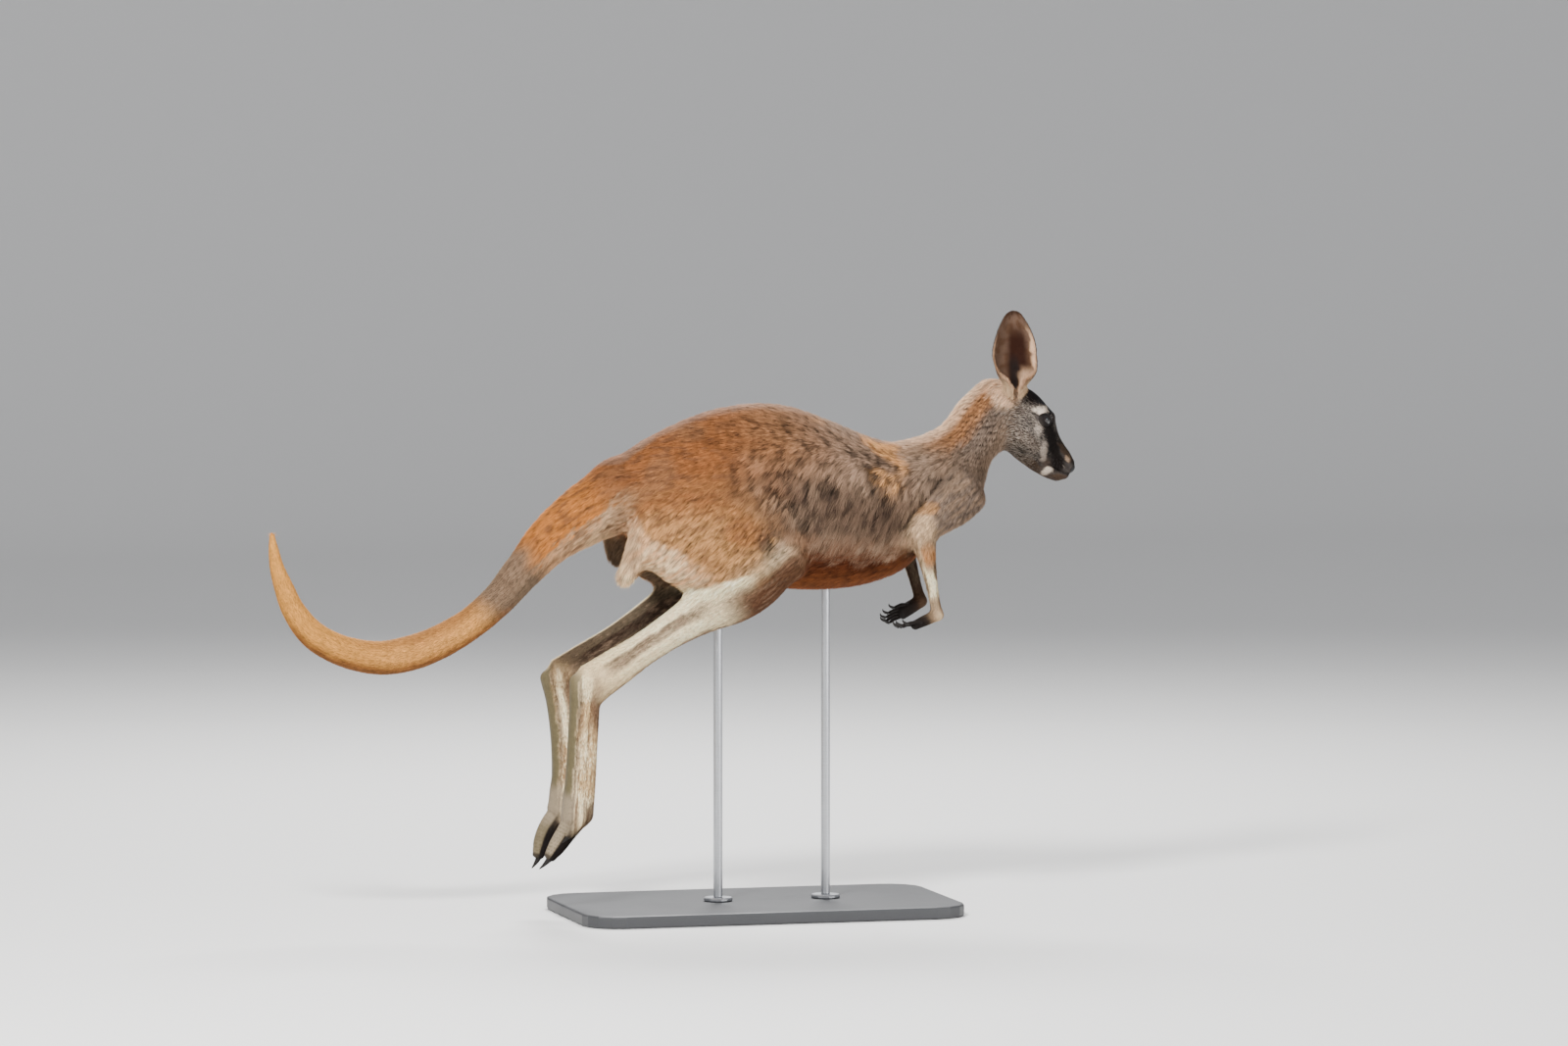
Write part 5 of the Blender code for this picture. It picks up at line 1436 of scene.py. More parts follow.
def build_tufts(name, roots, n, facts, rng):
    """Tufts as blades with a raised middle line, whose tips stand at their height over the skin, darker at
    the root and lighter at the tip as painted shade and highlight.
    """
    count = len(roots)
    clump, gap, depth, speck = (facts[key] for key in ("clump", "gap", "depth", "speckle"))
    streak = (facts["streak"] - STREAK_MIDDLE) * STREAK_GAIN
    f = unit(facts["lie"] - (facts["lie"] * n).sum(1, keepdims=True) * n)
    sway = 0.30 * (noise(roots / 0.010, 21) - 0.5) * clump + 0.12 * rng.normal(size=count)
    f = unit(f + np.cross(n, f) * sway[:, None])
    across = np.cross(n, f)
    length = facts["length"] * (0.80 + 0.40 * rng.random(count)) * (1 + 0.25 * streak * clump)
    length = length * (1 - 0.35 * gap)
    width = (facts["width"] * (0.75 + 0.5 * rng.random(count)))[:, None]
    top = facts["lift"] * (0.6 + 0.8 * rng.random(count)) * (1 + 0.8 * streak * clump)
    top = np.maximum(top * (1 - 0.8 * gap), SHORTEST_TOP)
    height = np.minimum(top, depth + OVER_SURFACE)
    tip = roots + f * length[:, None]
    for _ in range(2):
        off = body_distance(tip) + depth
        tip = tip + n * np.clip(height - off, -0.006, 0.006)[:, None]
    foot = roots - n * FOOT_DEPTH
    half = across * (width / 2) * 0.8
    # Painted light and shade over each tuft's random tone: lighter on the raised tips of locks, darker at
    # their roots, darker in the gaps between locks; a tenth of the tufts darker at random
    dark = 1 + 0.13 * rng.normal(size=count) + 0.78 * streak * clump
    dark = dark * (1 - 0.72 * gap) * np.where(rng.random(count) < 0.10, 0.45, 1.0)
    grey = rng.random(count)
    dark = dark * np.where(grey < 0.34 * speck, 0.20, 1.0)
    colour = facts["colour"] * np.clip(dark, 0.15, 1.8)[:, None]
    colour = mixed(colour, WHITE, 0.60 * (grey > 1 - 0.30 * speck))
    # Painted shade and highlight: a blade darker at its root, lighter at its tip
    root_shade_tip_light = 0.52 + 0.62 * BLADE_ALONG
    u = facts["uv"][:, :1] + TUFT_UV[0] * BLADE_SPREAD[None]
    v = facts["uv"][:, 1:] + TUFT_UV[1] * (BLADE_ALONG[None] - 0.5)
    rows = (foot - half, foot + n * (0.30 * width), foot + half, tip)
    return blades(name, rows, colour[:, None] * root_shade_tip_light[None, :, None], np.stack([u, v], axis=2), rng)


def coat_pieces():
    """The coat's pieces in the order they are built: the tubes each covers, and its slot."""
    pieces = {
        f"coat_trunk_{end}_{side}": (("trunk",), "rufous_coat")
        for end in ("rear", "front")
        for side in ("right", "left")
    }
    pieces["coat_neck"] = (("neck", "chest"), "rufous_coat")
    pieces["coat_head"] = (("head",), "grey_coat")
    pieces["coat_tail"] = (("tail",), "tail_coat")
    for part, tubes, slot in (
        ("thigh", ("thigh", "tuft"), "rufous_coat"),
        ("arm", ("upper", "fore", "palm"), "grey_coat"),
        ("leg", ("shin", "foot", "toe"), "cream_coat"),
    ):
        for side in ("right", "left"):
            pieces[f"coat_{part}_{side}"] = (tuple(f"{name}_{side}" for name in tubes), slot)
    return pieces


def build_coat(skin, share):
    """Tufts over the whole skin, in one piece for each part of the body."""
    count = skin["body_vertices"]
    points, normals = surface(skin)
    body = points[:count]
    lids = eye_distance(body) < EYE_RADIUS + 0.0030
    nose = np.linalg.norm((body - NOSE_PLACE) / NOSE_SIZE, axis=1) < 1.15
    density = np.zeros(len(points))
    density[:count] = survey(body, normals[:count])["density"] * (1 - bare_share(body)) * share
    density[:count] *= ~lids * ~nose
    corners, shares = scatter(skin.data, density, np.random.default_rng(11))
    roots = (points[corners] * shares[..., None]).sum(1)
    ways = unit((normals[corners] * shares[..., None]).sum(1))
    facts = survey(roots, ways)
    facts["depth"] = -body_distance(roots)
    names = list(TUBES)
    pieces = []
    for k, (name, (tubes, slot)) in enumerate(coat_pieces().items()):
        numbers = [names.index(t) for t in tubes]
        own = np.isin(facts["owner"], numbers)
        if tubes == ("trunk",):
            own &= (roots[:, 1] > 0) == name.endswith("left")
            own &= (roots[:, 0] > TRUNK_MIDDLE) == ("front" in name)
        chosen = {key: value[own] for key, value in facts.items()}
        strip = sum(i * (chosen["owner"] == number) for i, number in enumerate(numbers))
        uv = chosen["uv"]
        uv[:, 0] = (strip + 0.01 + 0.98 * uv[:, 0]) / len(tubes)
        if tubes == ("trunk",):
            uv[:, 1] = np.abs(uv[:, 1] - 0.5) * 2
        rng = np.random.default_rng(100 + k)
        pieces.append((build_tufts(name, roots[own], ways[own], chosen, rng), slot))
    return pieces


def ear_side(base, tip, opening, mirror, inner, rng):
    """Where hair grows on one side of an ear: root, normal, lie, colour, length and UV."""
    sheets, share, _ = ear_sheets(base, tip, opening)
    sheet = sheets[int(inner)]
    spine = np.array(tip) - np.array(base)
    n = unit(np.cross(np.gradient(sheet, axis=1), np.gradient(sheet, axis=0)))
    away = sheet - (base + np.outer(share[:, 0], spine))[:, None]
    sign = np.sign((n * away).sum(-1, keepdims=True)) * (-1 if inner else 1)
    n = n * np.where(sign == 0, 1, sign)
    u, v = rng.random((2, EAR_HAIRS))
    u[:EAR_FOOT_HAIRS] *= EAR_FOOT
    rim = rng.random(EAR_HAIRS) < 0.35
    v = np.where(rim, np.round(v) + (v - 0.5) * 0.06, v).clip(0, 1)
    r, c = u * (sheet.shape[0] - 1.001), v * (sheet.shape[1] - 1.001)
    i, j = r.astype(int), c.astype(int)
    a, b = (r - i)[:, None], (c - j)[:, None]
    root = (
        sheet[i, j] * (1 - a) * (1 - b)
        + sheet[i + 1, j] * a * (1 - b)
        + sheet[i, j + 1] * (1 - a) * b
        + sheet[i + 1, j + 1] * a * b
    )
    t = np.sin((2 * v - 1) * np.pi / 2) * mirror
    normal = n[i, j]
    edge = ramp(np.abs(t), 0.75, 0.97)
    lie = unit(spine) + 0.2 * edge[:, None] * normal + 0.10 * rng.normal(size=(EAR_HAIRS, 3))
    down = (u < 0.10) & (rng.random(EAR_HAIRS) < 0.7)
    lie = unit(np.where(down[:, None], 0.35 * normal - lie, lie))
    length = (0.0028 + 0.0012 * edge * inner) * ramp(u, 1.1, 0.75) + 0.0060 * ramp(u, 0.35, 0.10)
    length = np.where((np.abs(t) < 0.45) & inner, 0.0020, length)
    return root, normal, lie, ear_colour(u, t, inner), length, columns(u, v)


def build_ear_coat():
    """Fine hair on both sides of the ears, long and pale at the base and along the rims."""
    rng = np.random.default_rng(31)
    sides = [
        ear_side(*ear, mirror, inner, rng)
        for (_, *ear), mirror in zip(EARS, (1, -1))
        for inner in (False, True)
    ]
    feet, tips, colours, uvs = [], [], [], []
    for k, (root, normal, lie, colour, length, uv) in enumerate(sides):
        length = length * (0.7 + 0.6 * rng.random(len(root)))
        half = unit(np.cross(normal, lie)) * EAR_HAIR_HALF_WIDTH
        feet.append((root - half, root + normal * 0.0003, root + half))
        tips.append(root + lie * length[:, None] + normal * (0.12 * length)[:, None])
        value = (0.8 + 0.4 * rng.random(len(root)))[:, None, None] * EAR_HAIR_SHADE_AND_LIGHT[None, :, None]
        colours.append(colour[:, None] * value)
        uvs.append(((uv + (k % 2, k // 2)) / 2)[:, None] + EAR_HAIR_UV[None])
    rows = [np.vstack(row) for row in (*zip(*feet), tips)]
    return blades("coat_ears", rows, np.vstack(colours), np.vstack(uvs), rng)


# --- Eyes, nose, claws, whiskers ------------------------------------------------------------
def ball_angles(rows, cols):
    """Angles of a ball's grid of points: from its pole, and round its axis."""
    return np.linspace(0.0, np.pi, rows)[:, None], (2 * np.pi * np.arange(cols) / cols)[None]


def ball(name, points, **values):
    """A closed ball-like piece from a grid of points, with named numbers for its vertices."""
    obj = quads_of(name, points.reshape(-1, 3), grid_quads(*points.shape[:2], wrap=True))
    for key, numbers in values.items():
        set_value(obj, key, numbers)
    reworked(obj, join_poles)
    obj.data.polygons.foreach_set("use_smooth", np.ones(len(obj.data.polygons), bool))
    return obj


def build_eye(sign):
    """An eyeball with a slightly raised cornea: a sphere plus 0.6 mm round its outward pole."""
    centre, out, length, rise = eye_frame(sign)
    polar, turn = ball_angles(48, 64)
    r = EYE_RADIUS + CORNEA * ramp(polar, 0.62, 0.0)
    ring = np.cos(turn)[..., None] * length + np.sin(turn)[..., None] * rise
    way = np.cos(polar)[..., None] * out + np.sin(polar)[..., None] * ring
    front, a, b = way @ out > 0, way @ length / IRIS_SIZE[0], way @ rise / IRIS_SIZE[1]
    iris = np.where(front, np.hypot(a, b), 2.0)
    pupil = np.where(front, np.hypot(a * 1.6, b * 2.3), 3.0)
    name = "eye_ball_" + ("left" if sign > 0 else "right")
    return ball(name, centre + way * r[..., None], iris=iris, pupil=pupil)


def build_nose():
    """The bare nose pad: an ellipsoid with comma-shaped nostrils and a groove down its middle."""
    polar, turn = ball_angles(72, 110)
    x, y, z = np.broadcast_arrays(
        np.cos(polar), np.sin(polar) * np.cos(turn), np.sin(polar) * np.sin(turn)
    )
    way, wide = np.stack([x, y, z], axis=-1), np.abs(y)
    hole = ((wide - 0.50 - 0.25 * z) / 0.15) ** 2 + ((z - 0.02) / 0.24) ** 2
    tail = ((wide - 0.80) / 0.20) ** 2 + ((z - 0.22 - 0.2 * (wide - 0.8)) / 0.09) ** 2
    nostril = np.maximum(ramp(hole, 1.5, 0.3), 0.6 * ramp(tail, 1.5, 0.3)) * (x > -0.2)
    groove = bell(y, 0.07) * ramp(z, 0.45, -0.1)
    grain = noise((way * 16).reshape(-1, 3), 5).reshape(x.shape) - 0.5
    scale = 1 - 0.36 * nostril - 0.10 * groove + 0.03 * grain
    points = np.array(NOSE_PLACE) + way * np.array(NOSE_SIZE) * scale[..., None]
    # the nostrils' share, darkened in the material as painted shade
    return ball("nose_pad", points, hollow=nostril)


def claw_parts(root, tip, radius, droop):
    """A bent tapering claw: half width (1 - 0.88 s^1.5) of the root's, bent by 4s(1 - s) droop."""
    s = np.linspace(0, 1, 26)
    path = root + (tip - root) * s[:, None] + np.outer(4 * s * (1 - s), droop)
    width = radius * (1 - 0.88 * s**1.5)
    width[0] = width[0] * 0.2
    width[-1] = width[-1] * 0.15
    return closed_tube(path, width, 18)


def build_claws(name, rows):
    """Several claws as one piece."""
    obj = quads_of(name, *stacked(claw_parts(*row) for row in rows))
    reworked(obj, cap_holes)
    return obj


def hand_claw_rows(arm):
    """Root, tip, half width and droop of the claws of one hand."""
    reach = unit(np.array(arm["fingers"]) - np.array(arm["knuckles"]))
    rows = []
    for _, tip in finger_ends(arm):
        start = tip - reach * 0.001
        end = start + (reach + (0, 0, 1.0)) * HAND_CLAW * 0.62
        rows.append((start, end, HAND_CLAW_RADIUS, reach * 0.0035))
    return rows


def foot_claw_rows(leg):
    """Root, tip, half width and droop of the claws of one foot."""
    _, out = side_of(leg)
    ball, toe, tip = (np.array(leg[key]) for key in ("ball", "toe", "claw"))
    forward = unit(tip - toe)
    rows = [(toe - forward * 0.006, tip, FOOT_CLAW_RADIUS, np.array((0.003, 0, 0.0005)))]
    for _, _, share, (_, shift, _), radius in SIDE_TOES.values():
        end = ball + share * (toe - ball) + (0.005, out * shift, 0.005)
        droop = np.array((0.002, 0, 0))
        rows.append((end - forward * 0.002, end + forward * SIDE_CLAW, radius, droop))
    return rows


def hairs(name, roots, ways, lengths, colour):
    """Single stiff hairs as three-sided tapering tubes, bent down by the square of the way along."""
    s = np.linspace(0, 1, 7)
    path = roots[:, None] + ways[:, None] * (lengths[:, None] * s)[..., None]
    path = path + np.array((0, 0, -0.25)) * (lengths[:, None] * s**2)[..., None]
    turn = 2 * np.pi * np.arange(3) / 3
    side = unit(np.cross(ways, (0.1, 0.2, 1.0)))
    rise = np.cross(side, ways)
    circle = np.cos(turn)[None, :, None] * side[:, None] + np.sin(turn)[None, :, None] * rise[:, None]
    width = WHISKER_RADIUS * (1 - 0.92 * s)
    points = path[:, :, None] + circle[:, None] * width[None, :, None, None]
    each = len(s) * 3
    faces = grid_quads(len(s), 3, wrap=True)
    faces = (faces[None] + each * np.arange(len(roots))[:, None, None]).reshape(-1, 4)
    obj = quads_of(name, points.reshape(-1, 3), faces)
    set_colour(obj, np.repeat(colour, each, axis=0))
    return obj


def build_whiskers():
    """Whiskers of the muzzle and brow, and lashes along the upper lids."""
    rng = np.random.default_rng(77)
    roots, ways, lengths = [], [], []
    for sign in (-1.0, 1.0):
        for i in range(MUZZLE_ROWS):
            for j in range(MUZZLE_COLUMNS):
                x = 0.503 + 0.0055 * j + 0.001 * rng.normal()
                z = 0.7200 + 0.0050 * i + 0.001 * rng.normal()
                roots.append((x, sign * 0.0205, z))
                ways.append((-0.35 + 0.12 * j, sign * 0.85, -0.25 + 0.12 * i))
                lengths.append(0.012 + 0.012 * rng.random())
        for i in range(BROW_WHISKERS):
            roots.append((0.472 + 0.003 * i, sign * 0.036, 0.8215 - 0.001 * i))
            ways.append((-0.2, sign * 0.7, 0.6))
            lengths.append(0.018 + 0.008 * rng.random())
    colour = np.where(rng.random((len(roots), 1)) < 0.85, DARK, WHITE)
    lids, lid_ways = [], []
    for sign in (-1.0, 1.0):
        centre, out, length, rise = eye_frame(sign)
        for k in range(LASHES):
            part = -0.85 + 1.7 * k / (LASHES - 1)
            a = EYE_HALF_LENGTH * part
            b = EYE_UPPER * (1 - abs(a / EYE_HALF_LENGTH) ** ALMOND) ** (1 / ALMOND)
            flat = length * a / EYE_RADIUS + rise * b / EYE_RADIUS
            way = flat + out * math.sqrt(max(1 - flat @ flat, 0.05))
            lids.append(centre + way * (EYE_RADIUS + LID * 0.9))
            lid_ways.append(unit(way + 0.35 * rise + 0.3 * length * a / EYE_HALF_LENGTH))
    all_roots = np.vstack([snapped(np.array(roots), 0.0018), lids])
    all_ways = unit(np.vstack([ways, lid_ways]))
    size = np.concatenate([lengths, 0.0045 + 0.002 * rng.random(len(lids))])
    colour = np.vstack([colour, np.broadcast_to(DARK, (len(lids), 3))])
    return hairs("whiskers", all_roots, all_ways, size, colour)


def snapped(points, depth):
    """Points moved along y onto the surface under the coat."""
    points = points.copy()
    sign = np.sign(points[:, 1])
    for _ in range(8):
        points[:, 1] -= sign * (body_distance(points) + depth) * 0.9
    return points


# --- Materials ------------------------------------------------------------------------------
class Shader:
    """A new Principled material, with short ways to add its nodes."""

    def __init__(self, name):
        self.made = bpy.data.materials.new(name)
        self.made.use_nodes = True
        self.tree = self.made.node_tree
        self.place = self.add("TexCoord").outputs["Object"]

    def add(self, kind, inputs=None, **settings):
        """A new node, whose inputs are set to values or joined to other nodes' outputs."""
        node = self.tree.nodes.new("ShaderNode" + kind)
        for key, value in settings.items():
            setattr(node, key, value)
        self.fill(node, inputs or {})
        return node

    def fill(self, node, inputs):
        """Sets inputs of a node to values, or joins them to outputs."""
        for key, value in inputs.items():
            if isinstance(value, bpy.types.NodeSocket):
                self.tree.links.new(value, node.inputs[key])
            else:
                node.inputs[key].default_value = value

    def attribute(self, name, output="Fac"):
        """A value that the vertices hold."""
        return self.add("Attribute", attribute_name=name).outputs[output]

    def noise(self, scale, detail, place=None):
        """A cloudy texture in object coordinates, or at another place."""
        inputs = {"Vector": place or self.place, "Scale": scale, "Detail": detail}
        return self.add("TexNoise", inputs).outputs["Fac"]

    def cells(self, scale, **settings):
        """Distances in a texture of cells in object coordinates."""
        inputs = {"Vector": self.place, "Scale": scale}
        return self.add("TexVoronoi", inputs, **settings).outputs["Distance"]

    def spread(self, factor, low, high):
        """A factor from 0 to 1 stretched to go from low to high."""
        inputs = {"Value": factor, "To Min": low, "To Max": high}
        return self.add("MapRange", inputs).outputs["Result"]

    def scaled(self, colour, share):
        """A colour times a number."""
        return self.add("VectorMath", {0: colour, "Scale": share}, operation="SCALE").outputs["Vector"]

    def tinted(self, colour, factor, low, high):
        """A colour times a number that follows a factor from low to high."""
        return self.scaled(colour, self.spread(factor, low, high))

    def bump(self, height, strength, distance, **settings):
        """Normals of a raised pattern."""
        inputs = {"Height": height, "Strength": strength, "Distance": distance}
        return self.add("Bump", inputs, **settings).outputs["Normal"]

    def even(self, colour):
        """A constant colour as an output."""
        node = self.add("RGB")
        node.outputs[0].default_value = (*colour, 1.0)
        return node.outputs[0]

    def finished(self, colour, roughness, specular, normal=None, **more):
        """The material, once its surface is set; names in more have _ for a space."""
        inputs = {"Base Color": colour, "Roughness": roughness, "Specular IOR Level": specular}
        if normal:
            inputs["Normal"] = normal
        inputs.update({key.replace("_", " "): value for key, value in more.items()})
        self.fill(self.tree.nodes["Principled BSDF"], inputs)
        return self.made


def coat_material():
    """Hair: the tuft's colour, split into strands across it, with a soft sheen."""
    s = Shader("coat")
    place = s.add("CombineXYZ", {"X": s.attribute("strand"), "Y": s.attribute("seed")})
    lines = s.noise(4.5, 2.0, place.outputs["Vector"])
    colour = s.tinted(s.attribute("coat_colour", "Color"), lines, 0.55, 1.45)
    normal = s.bump(lines, 0.35, 0.0004)
    return s.finished(colour, 0.75, 0.08, normal, Sheen_Weight=0.02, Sheen_Roughness=0.45)


def skin_material():
    """Short hair as fine bump over the coat's colour, and leathery cells where it is bare."""
    s = Shader("skin")
    bare, hair, patch = s.attribute("bare"), s.noise(900.0, 3.0), s.noise(120.0, 4.0)
    cells = s.cells(620.0, feature="DISTANCE_TO_EDGE")
    colour = s.tinted(s.attribute("coat_colour", "Color"), hair, 0.60, 1.40)
    colour = s.tinted(colour, patch, 0.75, 1.25)
    height = s.add("Mix", {"Factor": bare, "A": hair, "B": cells}, data_type="FLOAT")
    normal = s.bump(height.outputs["Result"], 0.6, 0.0008)
    return s.finished(colour, s.spread(bare, 0.75, 0.50), 0.12, normal)


def eye_material(colour):
    """Dark iris with fine spokes, black oval pupil, under a clear wet coat."""
    s = Shader("eye_gloss")
    rings = s.add("ValToRGB", {"Fac": s.attribute("iris")})
    inner, outer = rings.color_ramp.elements
    inner.position, inner.color = 0.60, (*colour, 1.0)
    outer.position, outer.color = 1.0, (0.003, 0.002, 0.002, 1.0)
    out = s.tinted(rings.outputs["Color"], s.noise(700.0, 3.0), 0.5, 1.5)
    edge = {"Value": s.attribute("pupil"), "From Min": 0.85, "From Max": 1.0}
    out = s.scaled(out, s.add("MapRange", edge).outputs["Result"])
    return s.finished(out, 0.10, 0.35, Coat_Weight=1.0, Coat_Roughness=0.02)


def nose_material():
    """Moist black skin in small cells, lighter on them and darker in the grooves between them, darkest in
    the nostrils: painted light and shade.
    """
    s = Shader("nose_skin")
    cells = s.cells(1300.0)
    # painted light and shade: lighter on the cells, darker in the grooves between them
    colour = s.tinted(s.even((0.010, 0.009, 0.010)), cells, 1.3, 0.6)
    # painted shade in the nostrils
    colour = s.tinted(colour, s.attribute("hollow"), 1.0, 0.15)
    normal = s.bump(cells, 0.5, 0.0004, invert=True)
    return s.finished(colour, 0.42, 0.25, normal, Coat_Weight=0.12, Coat_Roughness=0.2)


def claw_material():
    """Black horn with faint lengthwise growth and worn, paler scratches."""
    s = Shader("claw_horn")
    grain = s.noise(420.0, 5.0)
    colour = s.tinted(s.even((0.009, 0.007, 0.006)), grain, 0.4, 1.9)
    return s.finished(colour, s.spread(grain, 0.30, 0.58), 0.28, s.bump(grain, 0.25, 0.0003))


def plate_material(colour):
    """Satin powder paint with a fine orange-peel bump and slight unevenness."""
    s = Shader("stand_paint")
    cloud = s.noise(9.0, 4.0)
    normal = s.bump(s.noise(520.0, 2.0), 0.15, 0.0003)
    return s.finished(s.tinted(s.even(colour), cloud, 0.85, 1.15), s.spread(cloud, 0.38, 0.56), 0.45, normal)


def steel_material():
    """Brushed round steel: fine rings along the bar in colour, roughness and bump."""
    s = Shader("stand_steel")
    stretch = s.add("Mapping", {"Vector": s.place, "Scale": (40.0, 40.0, 2200.0)})
    lines = s.noise(1.0, 3.0, stretch.outputs["Vector"])
    colour = s.tinted(s.even((0.52, 0.53, 0.55)), lines, 0.8, 1.15)
    normal = s.bump(lines, 0.12, 0.0002)
    return s.finished(colour, s.spread(lines, 0.24, 0.42), 0.5, normal, Metallic=1.0)


def stage_material(colour):
    """A pale matt floor."""
    return Shader("stage_paper").finished((*colour, 1.0), 0.9, 0.2)


def whisker_material():
    """Stiff smooth hair in its own colour."""
    s = Shader("whisker")
    return s.finished(s.attribute("coat_colour", "Color"), 0.4, 0.4)


def finish_piece(obj, material, slot, *nodes):
    """Gives a piece its material and body, and hides the solids it stands for. The slot is not used."""
    obj.data.materials.clear()
    obj.data.materials.append(material)
    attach(obj, "root")
    if nodes:
        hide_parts(*nodes)


# --- Add-on ---------------------------------------------------------------------------------
class KangarooCoatSettings(bpy.types.PropertyGroup):
    """Sizes of the coat."""

    tufts: bpy.props.FloatProperty(
        name="Tufts",
        description="Share of the full number of tufts",
        subtype="FACTOR",
        default=1.0,
        min=0.05,
        max=1.0,
    )


class KangarooHeadSettings(bpy.types.PropertyGroup):
    """Colours of the head's bare parts."""

    iris: bpy.props.FloatVectorProperty(
        name="Iris", description="Colour of the iris", subtype="COLOR", default=(0.011, 0.005, 0.003)
    )


class KangarooStandSettings(bpy.types.PropertyGroup):
    """Finish of the display stand."""

    plate: bpy.props.FloatVectorProperty(
        name="Plate", description="Paint of the plate", subtype="COLOR", default=(0.045, 0.046, 0.049)
    )


class KangarooStageSettings(bpy.types.PropertyGroup):
    """Floor, light and camera."""

    floor: bpy.props.FloatVectorProperty(
        name="Floor", description="Colour of the floor", subtype="COLOR", default=(0.86, 0.85, 0.83)
    )
    lens: bpy.props.FloatProperty(
        name="Lens",
        description="Focal length in millimetres",
        unit="CAMERA",
        default=200.0,
        min=20.0,
    )
    key: bpy.props.FloatProperty(
        name="Key light",
        description="Power of the main light in watts",
        unit="POWER",
        default=345.0,
        min=0.0,
    )


FLESH = ("trunk", "neck", "head", "tail_base", "tail_middle", "tail_tip") + tuple(
    f"{part}_{side}"
    for side in SIDES
    for part in ("ear", "upper_arm", "forearm", "hand", "thigh", "shin", "foot")
    + ("toe_main", "toe_outer", "toe_inner")
)


class KANGAROO_OT_skin(bpy.types.Operator):
    """Builds the skin in place of the flesh solids"""

    bl_idname = "kangaroo.skin"
    bl_label = "Skin"

    def execute(self, context):
        finish_piece(build_skin(), skin_material(), "rufous_coat", *FLESH)
        return {"FINISHED"}


class KANGAROO_OT_coat(bpy.types.Operator):
    """Builds the coat over the skin"""

    bl_idname = "kangaroo.coat"
    bl_label = "Coat"

    def execute(self, context):
        share = context.scene.kangaroo_coat.tufts
        material = coat_material()
        for obj, slot in build_coat(bpy.data.objects["skin"], share):
            finish_piece(obj, material, slot)
        finish_piece(build_ear_coat(), material, "ear_coat")
        return {"FINISHED"}


class KANGAROO_OT_eyes(bpy.types.Operator):
    """Builds both eyeballs"""

    bl_idname = "kangaroo.eyes"
    bl_label = "Eyes"

    def execute(self, context):
        material = eye_material(tuple(context.scene.kangaroo_head.iris))
        for sign, node in ((1.0, "eye_left"), (-1.0, "eye_right")):
            finish_piece(build_eye(sign), material, "eye", node)
        return {"FINISHED"}


class KANGAROO_OT_nose(bpy.types.Operator):
    """Builds the nose pad, the whiskers and the lashes"""

    bl_idname = "kangaroo.nose"
    bl_label = "Nose and whiskers"

    def execute(self, context):
        finish_piece(build_nose(), nose_material(), "nose_skin", "nose")
        finish_piece(build_whiskers(), whisker_material(), "dark_coat")
        return {"FINISHED"}


class KANGAROO_OT_claws(bpy.types.Operator):
    """Builds the claws of hands and feet"""

    bl_idname = "kangaroo.claws"
    bl_label = "Claws"

    def execute(self, context):
        material = claw_material()
        for arm in (NEAR_ARM, FAR_ARM):
            side, _ = side_of(arm)
            nodes = [f"claw_hand_{side}_{k}" for k in range(1, 6)]
            obj = build_claws(f"hand_claws_{side}", hand_claw_rows(arm))
            finish_piece(obj, material, "claw_horn", *nodes)
        for leg in (NEAR_LEG, FAR_LEG):
            side, _ = side_of(leg)
            nodes = [f"claw_{toe}_{side}" for toe in ("main", "outer", "inner")]
            obj = build_claws(f"foot_claws_{side}", foot_claw_rows(leg))
            finish_piece(obj, material, "claw_horn", *nodes)
        return {"FINISHED"}


class KANGAROO_OT_stand(bpy.types.Operator):
    """Paints the plate and brushes the rods and flanges"""

    bl_idname = "kangaroo.stand"
    bl_label = "Stand"

    def execute(self, context):
        plate = plate_material(tuple(context.scene.kangaroo_stand.plate))
        steel = steel_material()
        for name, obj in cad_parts.items():
            if name.startswith("stand_"):
                obj.data.materials.clear()
                obj.data.materials.append(plate if name == "stand_base" else steel)
        return {"FINISHED"}


class KANGAROO_OT_stage(bpy.types.Operator):
    """Adds the floor, the lights and the camera"""

    bl_idname = "kangaroo.stage"
    bl_label = "Stage"

    def execute(self, context):
        settings = context.scene.kangaroo_stage
        build_floor(stage_material(tuple(settings.floor)))
        build_lights(settings.key)
        build_camera(settings.lens)
        return {"FINISHED"}


BELOW_STAND = 0.0005  # the floor's depth under the stand's plate


def build_floor(material):
    """A floor sheet that curves up into a wall far behind: z follows a quarter circle."""
    reach, start, radius, top = 40.0, 8.0, 3.0, 30.0
    bend = np.linspace(0, np.pi / 2, 40)
    y = np.concatenate([[-reach, start], start + radius * np.sin(bend)[1:], [start + radius]])
    z = np.concatenate([[0.0, 0.0], radius * (1 - np.cos(bend))[1:], [top]]) - BELOW_STAND
    x = np.array((-reach, reach))
    points = np.stack(np.broadcast_arrays(x[None], y[:, None], z[:, None]), axis=-1)
    faces = grid_quads(len(y), 2)
    floor = quads_of("stage_floor", points.reshape(-1, 3), faces)
    floor.data.materials.append(material)


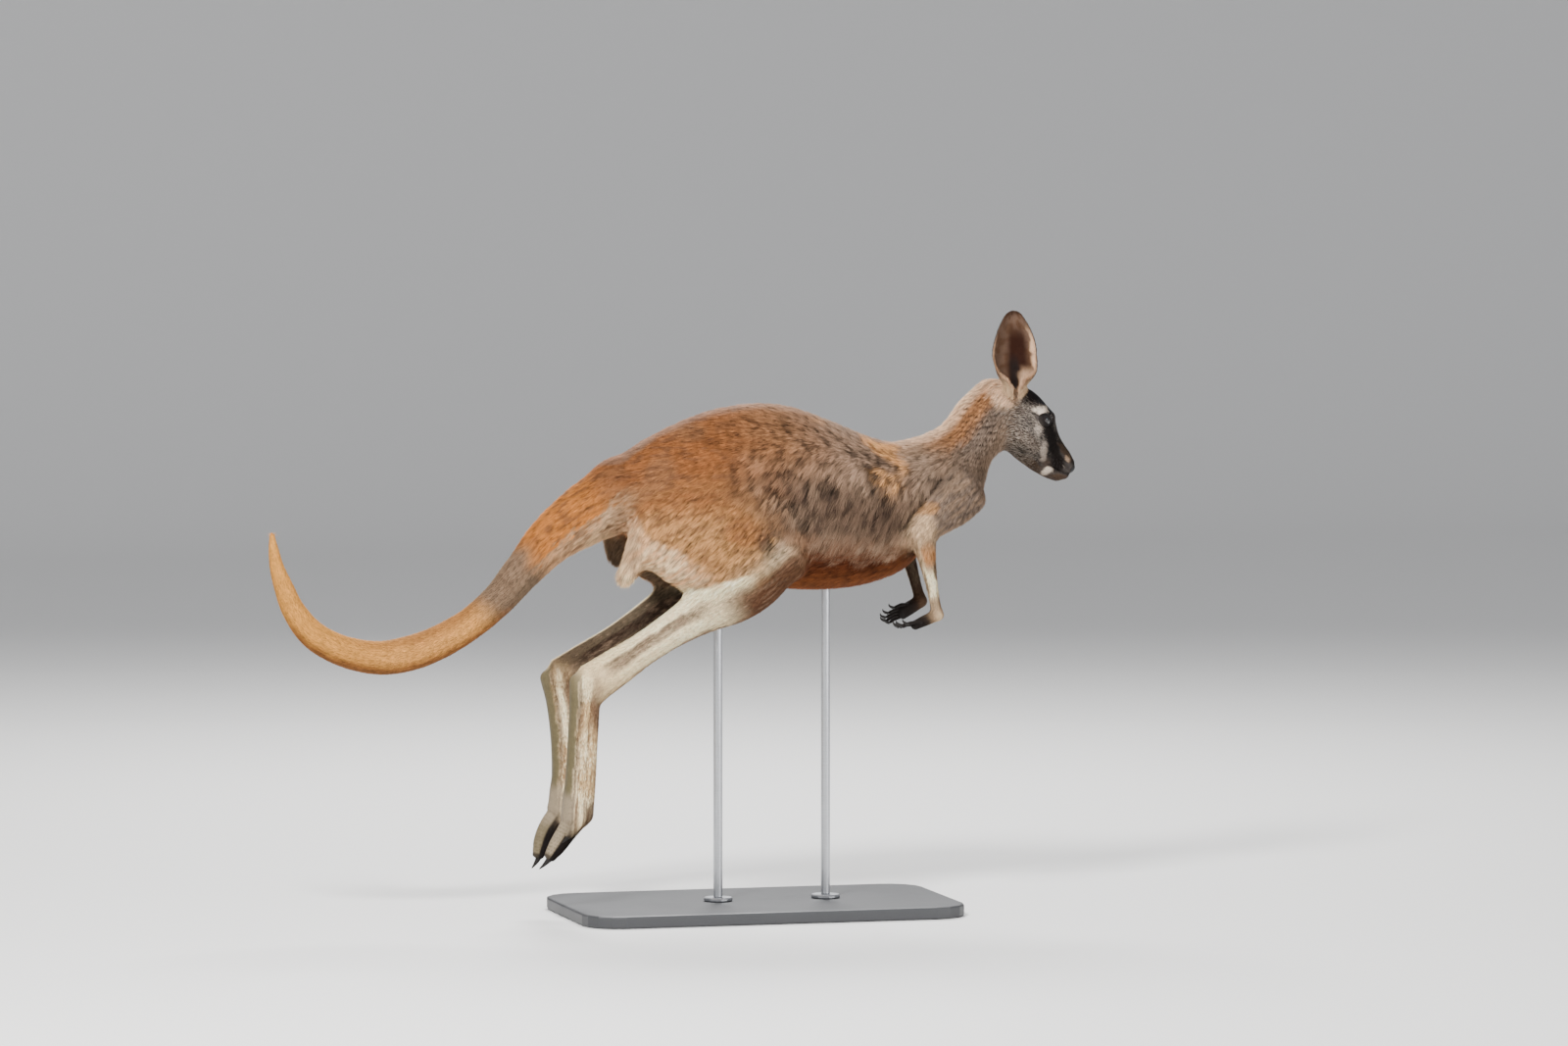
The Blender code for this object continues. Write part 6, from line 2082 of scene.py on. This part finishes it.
def build_lights(key):
    """Three large soft lights and an even pale surround."""
    target = Vector((-0.1, 0.0, 0.62))
    # Name, place, diameter in metres, power in watts
    lights = (
        ("key", (-1.9, -2.7, 3.3), 0.9, key),
        ("fill", (2.8, -3.4, 1.4), 2.6, 0.22 * key),
        ("back", (0.6, 2.6, 3.2), 1.6, 0.60 * key),
    )
    for name, place, size, power in lights:
        data = bpy.data.lights.new(name, "AREA")
        data.shape = "DISK"
        data.size = size
        data.energy = power
        light = bpy.data.objects.new(name, data)
        light.location = place
        light.rotation_euler = (target - Vector(place)).to_track_quat("-Z", "Y").to_euler()
        bpy.context.scene.collection.objects.link(light)
    world = bpy.data.worlds.new("surround")
    world.use_nodes = True
    world.node_tree.nodes["Background"].inputs["Color"].default_value = (0.90, 0.93, 1.0, 1.0)
    world.node_tree.nodes["Background"].inputs["Strength"].default_value = 0.42
    bpy.context.scene.world = world


def build_camera(lens):
    """The camera, a long lens a little above the animal's height."""
    target = Vector((0.049693, 0.0, 0.636981))
    place = Vector((-3.622322, -13.704148, 1.629073))
    data = bpy.data.cameras.new("camera")
    data.lens = lens
    data.sensor_width = 36.0
    data.clip_end = 200.0
    camera = bpy.data.objects.new("camera", data)
    camera.location = place
    camera.rotation_euler = (target - place).to_track_quat("-Z", "Y").to_euler()
    bpy.context.scene.collection.objects.link(camera)
    bpy.context.scene.camera = camera


class KANGAROO_PT_panel(bpy.types.Panel):
    """Lists the parts of the kangaroo model."""

    bl_idname = "KANGAROO_PT_panel"
    bl_label = "Kangaroo"
    bl_space_type = "VIEW_3D"
    bl_region_type = "UI"
    bl_category = "Kangaroo"

    def draw(self, context):
        for name, group in SETTINGS.items():
            for key in group.__annotations__:
                self.layout.prop(getattr(context.scene, name), key)
        for step in OPERATORS:
            self.layout.operator(step.bl_idname)


SETTINGS = {
    "kangaroo_coat": KangarooCoatSettings,
    "kangaroo_head": KangarooHeadSettings,
    "kangaroo_stand": KangarooStandSettings,
    "kangaroo_stage": KangarooStageSettings,
}
OPERATORS = (
    KANGAROO_OT_skin,
    KANGAROO_OT_coat,
    KANGAROO_OT_eyes,
    KANGAROO_OT_nose,
    KANGAROO_OT_claws,
    KANGAROO_OT_stand,
    KANGAROO_OT_stage,
)


def register():
    """Registers the settings, operators and panel."""
    for name, group in SETTINGS.items():
        bpy.utils.register_class(group)
        setattr(bpy.types.Scene, name, bpy.props.PointerProperty(type=group))
    for cls in (*OPERATORS, KANGAROO_PT_panel):
        bpy.utils.register_class(cls)


def unregister():
    """Removes the panel, operators and settings."""
    for cls in (KANGAROO_PT_panel, *reversed(OPERATORS)):
        bpy.utils.unregister_class(cls)
    for name, group in SETTINGS.items():
        delattr(bpy.types.Scene, name)
        bpy.utils.unregister_class(group)


def main():
    """Builds everything in order."""
    register()
    bpy.ops.kangaroo.skin()
    bpy.ops.kangaroo.coat()
    bpy.ops.kangaroo.eyes()
    bpy.ops.kangaroo.nose()
    bpy.ops.kangaroo.claws()
    bpy.ops.kangaroo.stand()
    bpy.ops.kangaroo.stage()


if __name__ == "__main__":
    main()
